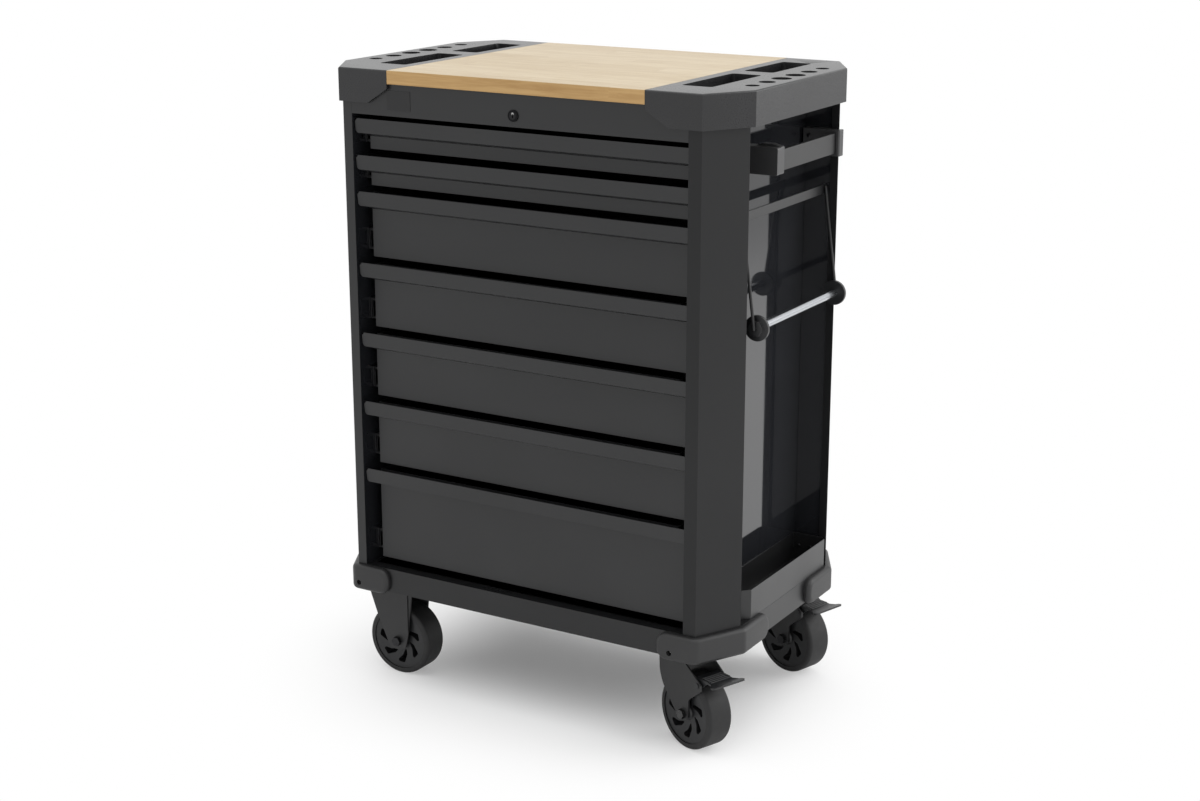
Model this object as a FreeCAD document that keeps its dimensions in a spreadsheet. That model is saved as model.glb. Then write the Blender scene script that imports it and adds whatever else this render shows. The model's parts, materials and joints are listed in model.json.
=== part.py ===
import FreeCAD, Part
import math
import os

import Sketcher
from FreeCAD import Placement, Rotation, Vector

# Rolling tool cabinet with seven drawers, a wooden worktop between two moulded caps, an open bay on the
# right with a shelf tray, a paper-roll holder and a push bar, and four castors.
# Axes: X to the right seen from the front, Y to the back, Z up from the floor.
# The pieces are drawn with X from the cabinet's middle and Y from the front face of the top caps.

SIZES = {
    # Body outline seen from above, with cut-off corners
    "body_half": 370.0,
    "body_front": 6.0,
    "body_back": 480.0,
    "corner_in": 41.0,
    "front_corner_run": 77.0,
    "rear_corner_run": 75.0,
    "panel_sheet": 1.2,
    # Heights above the floor
    "castor_head": 45.0,
    "base_height": 42.0,
    "drawer_bottom_gap": 12.5,
    "fascia_height": 52.0,
    "board_thick": 22.0,
    # Base pan
    "base_side_flange": 66.0,
    "base_front_flange": 20.0,
    # Drawer opening and side bay
    "left_post_width": 58.0,
    "bay_depth": 61.9,
    "bay_flange": 14.0,
    "bay_panel_inset": 6.0,
    "deck_flange": 18.0,
    "fascia_flange": 16.0,
    # Top caps and board
    "cap_over_side": 10.0,
    "cap_over_front": 6.0,
    "cap_corner_in": 48.0,
    "cap_corner_run": 80.0,
    "cap_skirt": 32.5,
    "cap_gap": 0.3,
    "cap_notch_height": 24.6,
    "cap_notch_width": 39.2,
    "cap_plate": 4.0,
    "cap_edge": 3.0,
    "cap_width": 143.5,
    "board_edge": 1.5,
    "well_width": 52.0,
    "well_depth": 18.0,
    "well_corner": 6.0,
    "well_from_front": 77.0,
    "well_front_length": 169.0,
    "well_from_back": 58.0,
    "well_rear_length": 144.0,
    "well_in": 18.5,
    "hole_in": 30.0,
    "hole_from_front": 126.0,
    "hole_pitch": 50.0,
    "hole_small": 22.0,
    "hole_medium": 26.5,
    "hole_large": 32.0,
    # Corner bumpers
    "bumper_thick": 11.0,
    "bumper_height": 45.0,
    "bumper_drop": 4.0,
    "bumper_front_leg": 67.0,
    "bumper_side_leg": 85.0,
    "bumper_end": 19.0,
    "bumper_edge": 8.0,
    "bumper_round": 16.0,
    "bumper_screw_hole": 9.0,
    "bumper_screw_up": 10.0,
    "bumper_screw_left_in": 7.0,
    "bumper_screw_right_in": 41.0,
    # Drawer fronts
    "drawer_top_gap": 8.0,
    "drawer_gap": 9.2,
    "small_front": 50.8,
    "medium_front": 109.8,
    "large_front": 161.0,
    "front_set_back": 20.3,
    "front_sheet": 1.5,
    "front_right_gap": 1.0,
    "front_hem": 12.0,
    "pull_height": 24.0,
    "pull_reach": 17.2,
    "pull_tilt": 2.4,
    "pull_slope": 6.0,
    "pull_overhang": 17.7,
    "pull_end": 5.0,
    # Drawer boxes
    "box_sheet": 1.0,
    "box_back_gap": 21.0,
    "box_lift": 4.0,
    "box_drop": 3.0,
    # Drawer slides, three members a side
    "slide_space": 20.7,
    "slide_height": 35.0,
    "slide_back_gap": 7.0,
    "slide_set_back": 14.0,
    "slide_sheet": 1.4,
    "slide_gap": 0.3,
    "slide_web_gap": 1.5,
    "slide_lift": 4.0,
    "rail_depth": 13.0,
    "middle_depth": 13.0,
    "inner_depth": 14.5,
    # Lock
    "lock_drop": 34.1,
    "lock_face": 18.6,
    "lock_barrel": 16.0,
    "lock_core": 11.9,
    "lock_fit": 0.05,
    "lock_rim": 2.2,
    "lock_length": 20.0,
    "key_slot_width": 1.6,
    "key_slot_height": 7.0,
    "cam_sheet": 2.0,
    "cam_offset": 8.0,
    "cam_pin": 5.0,
    "cam_pin_length": 8.0,
    "bar_rest_gap": 2.0,
    "bar_drop": 8.0,
    "bar_sheet": 2.0,
    "bar_width": 24.0,
    "bar_gap": 0.3,
    "bar_channel": 10.0,
    "hook_width": 3.0,
    "hook_rise": 3.5,
    "hook_tip": 4.0,
    "hook_gap": 1.5,
    "hook_reach": 7.0,
    "bar_arm_gap": 2.0,
    # Shelf tray in the bay
    "tray_from_corner": 24.0,
    "tray_height": 50.0,
    "tray_bevel": 12.0,
    "tray_rear_bevel": 7.0,
    "tray_gap": 0.3,
    "tray_screw_height": 27.0,
    "tray_screw_in": 29.0,
    "tray_screw_pitch": 22.0,
    # Push bar and its brackets
    "handle_drop": 99.0,
    "handle_bar_height": 33.0,
    "handle_bar_thick": 6.0,
    "handle_bar_inset": 1.0,
    "bracket_from_corner": 92.0,
    "bracket_thick": 24.0,
    "bracket_height": 43.0,
    "bracket_proud": 1.0,
    "bracket_hump": 4.0,
    "bracket_hump_in": 20.6,
    "bracket_hump_rise": 31.0,
    "bracket_hump_out": 15.5,
    "bracket_hump_thick": 12.0,
    "bracket_edge": 3.0,
    "bracket_socket": 8.0,
    "bracket_fit": 0.1,
    "rear_bracket_thick": 12.0,
    "rear_bracket_wrap": 4.0,
    "rear_bracket_screw_in": 13.4,
    "rear_bracket_screw_up": 9.5,
    "rear_bracket_proud": 6.0,
    # Paper-roll holder
    "roll_rail_in": 24.0,
    "roll_rail_thick": 3.0,
    "roll_rail_drop": 169.5,
    "roll_rail_height": 15.0,
    "roll_wire": 5.0,
    "roll_out": 3.7,
    "roll_hang": 177.0,
    "roll_from_corner": 17.5,
    "roll_from_panel": 8.8,
    "roll_disc": 41.0,
    "roll_disc_thick": 6.0,
    "roll_hub": 19.0,
    "roll_lobe": 6.5,
    "roll_hub_thick": 5.0,
    "roll_tube": 13.0,
    "roll_tube_wall": 1.0,
    "roll_gap": 0.5,
    "roll_fit": 0.05,
    "roll_pin_length": 16.0,
    # Castors
    "wheel_radius": 62.5,
    "wheel_width": 47.5,
    "tyre_thick": 10.3,
    "rim_recess": 1.6,
    "tyre_edge": 6.0,
    "hub_radius": 11.5,
    "web_recess": 4.0,
    "hub_recess": 1.0,
    "hub_slope": 2.0,
    "rim_lip": 4.0,
    "swirl_count": 7.0,
    "swirl_from_hub": 6.0,
    "swirl_from_rim": 9.2,
    "swirl_corner": 1.5,
    "axle_radius": 5.0,
    "axle_fit": 0.05,
    "axle_nut": 8.5,
    "axle_nut_thick": 7.0,
    "fork_gap": 1.75,
    "fork_sheet": 3.0,
    "leg_foot": 16.0,
    "leg_drop": 17.0,
    "leg_waist": 42.0,
    "leg_waist_up": 43.5,
    "leg_heel": 24.0,
    "leg_heel_up": 22.5,
    "leg_top": 33.0,
    "leg_rib": 2.0,
    "leg_rib_width": 9.0,
    "leg_rib_up": 21.5,
    "leg_rib_corner": 3.0,
    "swivel_leg_back": 24.3,
    "swivel_leg_back_up": 43.7,
    "swivel_foot": 12.6,
    "swivel_notch": 13.8,
    "swivel_notch_up": 28.1,
    "fixed_in": 90.0,
    "swivel_in": 98.0,
    "castor_from_front": 68.0,
    "castor_from_back": 44.0,
    "trail": 34.0,
    "front_turn": 21.6,
    "rear_turn": 17.2,
    "plate_sheet": 3.0,
    "plate_long": 116.0,
    "plate_wide": 82.0,
    "plate_corner": 20.0,
    "bolt_radius": 3.0,
    "bolt_head": 5.0,
    "bolt_head_thick": 4.0,
    "bolt_gap": 0.3,
    "bolt_tail": 4.8,
    "bolt_long": 88.0,
    "bolt_wide": 72.0,
    "king_radius": 6.0,
    "king_fit": 0.05,
    "race_radius": 27.0,
    "race_height": 10.0,
    "race_gap": 0.3,
    "pedal_angle": 60.26,
    "pedal_clear": 6.0,
    "pedal_pin": 3.0,
    "pedal_pin_head": 4.8,
    "pedal_fit": 0.05,
    "pedal_sheet": 3.0,
    "pedal_side_gap": 2.5,
    "pedal_tip": 33.0,
    "pedal_length": 47.5,
    "pedal_lip": 12.7,
    "pedal_flare": 20.4,
    "pedal_tip_run": 8.5,
    "pedal_corner": 4.5,
    "pedal_heel": 8.5,
    "pedal_up": 10.0,
    "cheek_back": 7.5,
    "cheek_half": 4.8,
    "cheek_low": 3.6,
    "cheek_front": 21.2,
    # Small screws
    "screw_head": 3.8,
    "screw_head_thick": 2.2,
}

# Sizes that follow from the ones above, as the sheet works them out
DERIVED = {
    "base_bottom": "2 * wheel_radius + castor_head",
    "fronts_height": "2 * small_front + 4 * medium_front + large_front + 6 * drawer_gap",
    "opening_height": "drawer_bottom_gap + fronts_height + drawer_top_gap",
    "deck_height": "base_bottom + base_height + opening_height + fascia_height",
    "corner_front": "body_front + front_corner_run",
    "corner_rear": "body_back - rear_corner_run",
    "board_half": "body_half + cap_over_side - cap_width",
    "well_front": "body_front - cap_over_front + well_from_front",
    "well_rear": "body_back + cap_over_front - well_from_back - well_rear_length",
    "hole_first": "body_front - cap_over_front + hole_from_front",
    "bumper_screw_height": "base_bottom + bumper_screw_up",
    "bumper_screw_left": "body_half - corner_in - bumper_screw_left_in",
    "bumper_screw_right": "body_half - corner_in - bumper_screw_right_in",
    "box_front": "body_front + front_set_back + front_sheet",
    "box_back": "body_back - panel_sheet - box_back_gap",
    "slide_length": "box_back - box_front - slide_set_back - slide_back_gap",
    "lock_height": "deck_height - lock_drop",
    "tray_front": "corner_front + tray_from_corner",
    "tray_screw_x": "body_half - tray_screw_in",
    "handle_height": "deck_height - handle_drop",
    "bracket_front": "corner_front + bracket_from_corner",
    "rear_bracket_screw_x": "body_half - bay_depth + rear_bracket_screw_in",
    "rear_bracket_screw_height": "handle_height + rear_bracket_screw_up",
    "roll_rail_x": "body_half - roll_rail_in",
    "roll_rail_top": "deck_height - roll_rail_drop",
    "roll_x": "body_half + roll_out",
    "roll_height": "roll_rail_top - roll_hang",
    "roll_front": "corner_front + roll_from_corner",
    "roll_rear": "corner_rear + bay_panel_inset - roll_from_panel",
    "rim_radius": "wheel_radius - tyre_thick",
    "swirl_inner": "hub_radius + swirl_from_hub",
    "swirl_outer": "rim_radius - swirl_from_rim",
    "fixed_x": "body_half - fixed_in",
    "swivel_x": "body_half - swivel_in",
    "castor_front": "body_front + castor_from_front",
    "castor_rear": "body_back - castor_from_back",
    "pedal_arm": "wheel_radius + pedal_clear",
    "pedal_pivot_x": "trail + pedal_arm * cos(pedal_angle * 1 deg)",
    "pedal_pivot_height": "wheel_radius + pedal_arm * sin(pedal_angle * 1 deg)",
    "pedal_height": "pedal_pivot_height + pedal_up",
    "pedal_reach": "pedal_pivot_x + pedal_length",
    "pedal_neck": "wheel_width / 2 + fork_gap - pedal_side_gap",
}

SMALLEST_CUT = 0.001
OUTER_SHARE = 0.65
ROLL_LOBES = 6
HEX_SIDES = 6

# Corners of a wheel's opening: share of its depth from hub to rim, angle in degrees, corner radius in units
SWIRL = [(0.0, 54.0, 1.0), (0.45, 42.5, 3.0), (1.0, 25.0, 2.2), (0.97, 1.0, 2.2), (0.45, 22.5, 5.0)]

doc = FreeCAD.newDocument("ToolCabinet")
sheet = doc.addObject("Spreadsheet::Sheet", "Sizes")
cells = [(name, str(number)) for name, number in SIZES.items()]
cells += [(name, f"={formula}") for name, formula in DERIVED.items()]
for row, (name, content) in enumerate(cells, start=1):
    sheet.set(f"A{row}", name)
    sheet.set(f"B{row}", content)
    sheet.setAlias(f"B{row}", name)
doc.recompute()


class Dim:
    """A number together with the sheet expression that gives it."""

    def __init__(self, value, text):
        self.value = float(value)
        self.text = text

    def __add__(self, other):
        return combine(self, "+", other)

    def __radd__(self, other):
        return combine(other, "+", self)

    def __sub__(self, other):
        return combine(self, "-", other)

    def __rsub__(self, other):
        return combine(other, "-", self)

    def __mul__(self, other):
        return combine(self, "*", other)

    def __rmul__(self, other):
        return combine(other, "*", self)

    def __truediv__(self, other):
        return combine(self, "/", other)

    def __rtruediv__(self, other):
        return combine(other, "/", self)

    def __neg__(self):
        return combine(0.0, "-", self)


def val(item):
    return item.value if isinstance(item, Dim) else float(item)


def txt(item):
    return item.text if isinstance(item, Dim) else repr(float(item))


def combine(left, sign, right):
    """Join two sizes with an arithmetic sign, leaving out what changes nothing."""
    a, b = val(left), val(right)
    result = {"+": a + b, "-": a - b, "*": a * b, "/": a / b if b else 0.0}[sign]
    plain_left = not isinstance(left, Dim)
    plain_right = not isinstance(right, Dim)
    if sign == "-" and txt(left) == txt(right):
        return 0.0
    if plain_right and ((sign in "+-" and b == 0) or (sign in "*/" and b == 1)):
        return left
    if plain_left and ((sign == "+" and a == 0) or (sign == "*" and a == 1)):
        return right
    if sign == "*" and ((plain_left and a == 0) or (plain_right and b == 0)):
        return 0.0
    if sign == "/" and plain_left and a == 0:
        return 0.0
    return Dim(result, f"({txt(left)} {sign} {txt(right)})")


def root(item):
    return Dim(math.sqrt(val(item)), f"sqrt({txt(item)})")


def cosine(angle):
    return Dim(math.cos(math.radians(val(angle))), f"cos({txt(angle)} * 1 deg)")


def sine(angle):
    return Dim(math.sin(math.radians(val(angle))), f"sin({txt(angle)} * 1 deg)")


class Sheet:
    """Gives every size of the spreadsheet by its name."""

    def __getattr__(self, name):
        return Dim(sheet.get(name), f"Sizes.{name}")


S = Sheet()


def bind(item, path, size):
    """Bind one property of a document object to a size."""
    if isinstance(size, Dim):
        item.setExpression(path, size.text)
        return
    item.setExpression(path, repr(float(size)))


def heading(start, end):
    """Unit direction from one corner to the next."""
    dx = end[0] - start[0]
    dy = end[1] - start[1]
    if not isinstance(dx, Dim) and float(dx) == 0:
        return 0.0, math.copysign(1.0, val(dy))
    if not isinstance(dy, Dim) and float(dy) == 0:
        return math.copysign(1.0, val(dx)), 0.0
    length = root(dx * dx + dy * dy)
    return dx / length, dy / length


def folded(points, thick):
    """Closed outline of a folded sheet: the given line and a line to its left, one sheet away."""
    ways = [heading(points[i], points[i + 1]) for i in range(len(points) - 1)]
    inner = []
    for index, point in enumerate(points):
        first = ways[max(index - 1, 0)]
        second = ways[min(index, len(ways) - 1)]
        share = thick / (1 + first[0] * second[0] + first[1] * second[1])
        inner.append((point[0] - share * (first[1] + second[1]), point[1] + share * (first[0] + second[0])))
    return list(points) + inner[::-1]


def circle(u, v, radius):
    return ("circle", u, v, radius)


def rectangle(left, low, right, high, corner=None):
    corners = [(left, low), (right, low), (right, high), (left, high)]
    return corners if corner is None else [point + (corner,) for point in corners]


def pin_point(sketch, geometry, position, u, v):
    """Hold one point of a sketch at sizes counted from the sketch's origin."""
    for kind, size in (("DistanceX", u), ("DistanceY", v)):
        index = sketch.addConstraint(Sketcher.Constraint(kind, -1, 1, geometry, position, val(size)))
        bind(sketch, f"Constraints[{index}]", size)


def set_radius(sketch, geometry, radius):
    index = sketch.addConstraint(Sketcher.Constraint("Radius", geometry, val(radius)))
    bind(sketch, f"Constraints[{index}]", radius)


def draw_circle(sketch, u, v, radius):
    shape = Part.Circle(Vector(val(u), val(v), 0), Vector(0, 0, 1), val(radius))
    geometry = sketch.addGeometry(shape, False)
    pin_point(sketch, geometry, 3, u, v)
    set_radius(sketch, geometry, radius)


def corner_ends(before, corner, after):
    """Where a corner starts and ends, and which way it turns if it is rounded."""
    if len(corner) == 2:
        return corner, corner, None, 0.0
    ax, ay = heading(before, corner)
    bx, by = heading(corner, after)
    cross = ax * by - ay * bx
    side = math.copysign(1.0, val(cross))
    reach = corner[2] * (cross * side) / (1 + ax * bx + ay * by)
    start = (corner[0] - reach * ax, corner[1] - reach * ay)
    end = (corner[0] + reach * bx, corner[1] + reach * by)
    return start, end, corner[2], side


def draw_outline(sketch, corners):
    """Draw a closed outline. A corner with a third value is an arc of that radius."""
    count = len(corners)
    spots = [corner_ends(corners[i - 1], corners[i], corners[(i + 1) % count]) for i in range(count)]
    lines = []
    for index in range(count):
        start, end = spots[index][1], spots[(index + 1) % count][0]
        shape = Part.LineSegment(Vector(val(start[0]), val(start[1]), 0), Vector(val(end[0]), val(end[1]), 0))
        lines.append(sketch.addGeometry(shape, False))
    for index in range(count):
        start, end, radius, side = spots[index]
        line_in, line_out = lines[index - 1], lines[index]
        if radius is None:
            sketch.addConstraint(Sketcher.Constraint("Coincident", line_in, 2, line_out, 1))
            pin_point(sketch, line_out, 1, *start)
            continue
        dx, dy = val(start[0]) - val(corners[index][0]), val(start[1]) - val(corners[index][1])
        length = math.hypot(dx, dy)
        middle_x = val(start[0]) + side * dy / length * val(radius)
        middle_y = val(start[1]) - side * dx / length * val(radius)
        first, last = (start, end) if side > 0 else (end, start)
        low = math.atan2(val(first[1]) - middle_y, val(first[0]) - middle_x)
        high = math.atan2(val(last[1]) - middle_y, val(last[0]) - middle_x)
        ring = Part.Circle(Vector(middle_x, middle_y, 0), Vector(0, 0, 1), val(radius))
        arc = sketch.addGeometry(Part.ArcOfCircle(ring, low, high if high > low else high + 2 * math.pi), False)
        first_point, last_point = (1, 2) if side > 0 else (2, 1)
        sketch.addConstraint(Sketcher.Constraint("Coincident", line_in, 2, arc, first_point))
        sketch.addConstraint(Sketcher.Constraint("Coincident", arc, last_point, line_out, 1))
        pin_point(sketch, line_in, 2, *start)
        pin_point(sketch, line_out, 1, *end)
        set_radius(sketch, arc, radius)


class Piece:
    """One body, built from outlines drawn on its own origin planes."""

    def __init__(self, name):
        self.name = name
        self.body = doc.addObject("PartDesign::Body", name)

    def sketch(self, plane, at, shapes):
        drawing = self.body.newObject("Sketcher::SketchObject", f"{self.name}_sketch")
        origin_plane = [item for item in self.body.Origin.OriginFeatures if item.Role == f"{plane}_Plane"][0]
        drawing.AttachmentSupport = [(origin_plane, "")]
        drawing.MapMode = "FlatFace"
        bind(drawing, "AttachmentOffset.Base.z", -at if plane == "XZ" else at)
        for shape in shapes:
            if shape[0] == "circle":
                draw_circle(drawing, *shape[1:])
            else:
                draw_outline(drawing, shape)
        return drawing

    def pad(self, plane, low, high, *shapes):
        """Add material between two coordinates along the plane's normal."""
        feature = self.body.newObject("PartDesign::Pad", f"{self.name}_pad")
        feature.Profile = self.sketch(plane, low, shapes)
        feature.Reversed = plane == "XZ"
        bind(feature, "Length", high - low)
        return self

    def cut(self, plane, low, high, *shapes):
        """Take material away between two coordinates along the plane's normal."""
        feature = self.body.newObject("PartDesign::Pocket", f"{self.name}_cut")
        feature.Profile = self.sketch(plane, low, shapes)
        feature.Reversed = plane != "XZ"
        bind(feature, "Length", high - low)
        self.last = feature
        return self

    def spin(self, plane, axis, *shapes):
        """Turn an outline once around an axis of its own sketch."""
        feature = self.body.newObject("PartDesign::Revolution", f"{self.name}_spin")
        drawing = self.sketch(plane, 0.0, shapes)
        feature.Profile = drawing
        feature.ReferenceAxis = (drawing, [axis])
        feature.Angle = 360.0
        return self

    def repeat(self, axis_role, count):
        """Repeat the last cut around one of the body's own axes."""
        axis = [item for item in self.body.Origin.OriginFeatures if item.Role == axis_role][0]
        feature = self.body.newObject("PartDesign::PolarPattern", f"{self.name}_pattern")
        feature.Originals = [self.last]
        feature.Axis = (axis, [""])
        feature.Angle = 360.0
        bind(feature, "Occurrences", count)
        self.body.Tip = feature
        return self

    def soften(self, radius, choose):
        """Round the edges that the test picks."""
        doc.recompute()
        base = self.body.Tip
        names = [f"Edge{i + 1}" for i, edge in enumerate(base.Shape.Edges) if choose(edge)]
        feature = self.body.newObject("PartDesign::Fillet", f"{self.name}_fillet")
        feature.Base = (base, names)
        bind(feature, "Radius", radius)
        return self


nodes = []


def set_place(item, x, y, z, turn=None):
    """Bind where a piece stands, and how far it is turned about the vertical."""
    if turn is not None:
        item.Placement = Placement(Vector(0, 0, 0), Rotation(Vector(0, 0, 1), val(turn)))
        bind(item, "Placement.Rotation.Angle", turn)
    bind(item, "Placement.Base.x", x)
    bind(item, "Placement.Base.y", y)
    bind(item, "Placement.Base.z", z)


def keep(item, label, x=0.0, y=0.0, z=0.0, turn=None):
    """Make an object a sub-part of the cabinet, under its own label and at its place."""
    item = item.body if isinstance(item, Piece) else item
    item.Label = label
    set_place(item, x - datum_x, y - datum_y, z, turn)
    nodes.append(item)
    return item


def group(name, items):
    """Hold separate solids of one sub-part together."""
    compound = doc.addObject("Part::Compound", name)
    compound.Links = [item.body if isinstance(item, Piece) else item for item in items]
    return compound


def mirrored(name, item, x=0.0, y=0.0, normal=Vector(1, 0, 0)):
    """A mirror copy about an upright plane."""
    copy = doc.addObject("Part::Mirroring", name)
    copy.Source = item.body if isinstance(item, Piece) else item
    copy.Normal = normal
    bind(copy, "Base.x", x)
    bind(copy, "Base.y", y)
    return copy


def moved(name, item, x, y, z=0.0, turn=None):
    """The same solid again at another place."""
    copy = doc.addObject("Part::Compound", name)
    copy.Links = [item.body if isinstance(item, Piece) else item]
    set_place(copy, x, y, z, turn)
    return copy


# Lines and planes that several pieces share
left_x = -S.body_half
right_x = S.body_half
front_y = S.body_front
back_y = S.body_back
corner_x = S.body_half - S.corner_in
front_corner_y = S.corner_front
rear_corner_y = S.corner_rear
base_top = S.base_bottom + S.base_height
opening_top = S.deck_height - S.fascia_height
top_height = S.deck_height + S.board_thick
left_wall_x = left_x + S.left_post_width
bay_wall_x = right_x - S.bay_depth
right_wall_x = bay_wall_x - S.panel_sheet
slide_middle_x = (left_wall_x + right_wall_x) / 2
cap_front_y = S.body_front - S.cap_over_front
cap_back_y = S.body_back + S.cap_over_front
cap_half = S.body_half + S.cap_over_side
cap_bottom = S.deck_height - S.cap_skirt
bay_panel_y = rear_corner_y + S.bay_panel_inset

# The origin lies under the middle of the whole cabinet: between the left bumper and the right edge of the
# roll holder's discs, and between the front and rear bumpers.
datum_x = (S.roll_x + S.roll_disc / 2 - S.body_half - S.bumper_thick) / 2
datum_y = (S.body_front + S.body_back) / 2


def make_base():
    """Base pan: a box with cut-off corners, open at the top inside wide flanges."""
    outline = [
        (-corner_x, front_y), (corner_x, front_y), (right_x, front_corner_y), (right_x, rear_corner_y),
        (corner_x, back_y), (-corner_x, back_y), (left_x, rear_corner_y), (left_x, front_corner_y),
    ]
    base = Piece("base_pan").pad("XY", S.base_bottom, base_top, outline)
    base.cut("XY", S.base_bottom + S.panel_sheet, base_top - S.panel_sheet, inner_outline(outline))
    base.cut("XY", base_top - S.panel_sheet, base_top, rectangle(
        left_x + S.base_side_flange, front_y + S.base_front_flange,
        right_x - S.base_side_flange, back_y - S.base_front_flange))
    holes = [circle(x, y, S.bolt_radius + S.bolt_gap) for x, y in bolt_spots()]
    base.cut("XY", S.base_bottom, S.base_bottom + S.panel_sheet, *holes)
    return keep(base, "base_pan")


def inner_outline(outline):
    """The outline one sheet inside a closed one drawn anticlockwise."""
    loop = [outline[-1]] + outline + [outline[0]]
    result = []
    for index in range(1, len(loop) - 1):
        first = heading(loop[index - 1], loop[index])
        second = heading(loop[index], loop[index + 1])
        share = S.panel_sheet / (1 + first[0] * second[0] + first[1] * second[1])
        x, y = loop[index]
        result.append((x - share * (first[1] + second[1]), y + share * (first[0] + second[0])))
    return result


def castor_spots():
    """Middle of each castor's top plate: left front, left rear, right front, right rear."""
    return [(-S.fixed_x, S.castor_front), (-S.fixed_x, S.castor_rear),
            (S.swivel_x, S.castor_front), (S.swivel_x, S.castor_rear)]


def bolt_offsets():
    return [(i * S.bolt_long / 2, j * S.bolt_wide / 2) for i in (-1, 1) for j in (-1, 1)]


def bolt_holes():
    return [circle(dx, dy, S.bolt_radius + S.bolt_gap) for dx, dy in bolt_offsets()]


def bolt_spots():
    return [(x + dx, y + dy) for x, y in castor_spots() for dx, dy in bolt_offsets()]


def make_shell():
    """Left side: one folded sheet from the front post round both corners to the back."""
    line = [
        (left_wall_x, back_y), (-corner_x, back_y), (left_x, rear_corner_y), (left_x, front_corner_y),
        (-corner_x, front_y), (left_wall_x, front_y),
    ]
    keep(Piece("left_shell").pad("XY", base_top, S.deck_height, folded(line, S.panel_sheet)), "left_shell")


def make_slide_walls():
    """The two inner walls that carry the drawer slides. The right one is the bay's inner wall."""
    inside_front = front_y + S.panel_sheet
    inside_back = back_y - S.panel_sheet
    left = Piece("left_slide_wall").pad("XY", base_top, S.deck_height, rectangle(
        left_wall_x - S.panel_sheet, inside_front, left_wall_x, inside_back))
    right = Piece("right_slide_wall").pad("XY", base_top, S.deck_height, rectangle(
        right_wall_x, inside_front, bay_wall_x, inside_back))
    keep(group("slide_walls", [left, right]), "slide_walls")


def make_columns():
    """Right front and rear columns and the bay's rear panel between wall and rear column."""
    front = [
        (right_wall_x, front_y), (corner_x, front_y), (right_x, front_corner_y),
        (bay_wall_x, front_corner_y),
    ]
    keep(Piece("front_column").pad("XY", base_top, S.deck_height, folded(front, S.panel_sheet)),
         "front_right_column")
    rear = [
        (right_x - S.bay_flange, bay_panel_y), (right_x - S.bay_flange, rear_corner_y),
        (right_x, rear_corner_y), (corner_x, back_y), (right_wall_x, back_y),
    ]
    keep(Piece("rear_column").pad("XY", base_top, S.deck_height, folded(rear, S.panel_sheet)),
         "rear_right_column")
    slant = heading((right_x, rear_corner_y), (corner_x, back_y))
    inset = S.bay_panel_inset + S.panel_sheet
    edge_x = right_x + slant[0] / slant[1] * inset - S.panel_sheet / slant[1] - S.cap_gap
    keep(Piece("bay_panel").pad("XY", base_top, S.deck_height, rectangle(
        bay_wall_x, bay_panel_y, edge_x, bay_panel_y + S.panel_sheet)), "bay_rear_panel")


def make_back():
    """Back panel between the shell's and the rear column's back edges."""
    keep(Piece("back").pad("XY", base_top, S.deck_height, rectangle(
        left_wall_x, back_y - S.panel_sheet, right_wall_x, back_y)), "back_panel")


def make_fascia():
    """Front strip above the drawers, folded back along its lower edge, with the lock's hole."""
    line = [
        (front_y + S.fascia_flange, opening_top), (front_y, opening_top), (front_y, S.deck_height),
    ]
    fascia = Piece("fascia")
    fascia.pad("YZ", left_wall_x, right_wall_x, folded(line[::-1], S.panel_sheet))
    fascia.cut("XZ", front_y, front_y + S.panel_sheet,
               circle(0.0, S.lock_height, S.lock_barrel / 2 + S.lock_fit))
    keep(fascia, "fascia")


def make_deck():
    """Folded sheet under the board, between the inner walls."""
    inside_front = front_y + S.panel_sheet
    inside_back = back_y - S.panel_sheet
    line = [
        (inside_front, S.deck_height - S.deck_flange), (inside_front, S.deck_height),
        (inside_back, S.deck_height), (inside_back, S.deck_height - S.deck_flange),
    ]
    keep(Piece("deck").pad("YZ", left_wall_x, right_wall_x, folded(line[::-1], S.panel_sheet)), "top_deck")


def make_board():
    """Wooden worktop board with eased edges."""
    board = Piece("board").pad("XY", S.deck_height, top_height, rectangle(
        -S.board_half, cap_front_y, S.board_half, cap_back_y))
    long_edges = top_height.value
    board.soften(S.board_edge, lambda edge: abs(edge.CenterOfMass.z - long_edges) < 1e-3
                 and abs(edge.CenterOfMass.x) < 1e-3)
    keep(board, "worktop_board")


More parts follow.
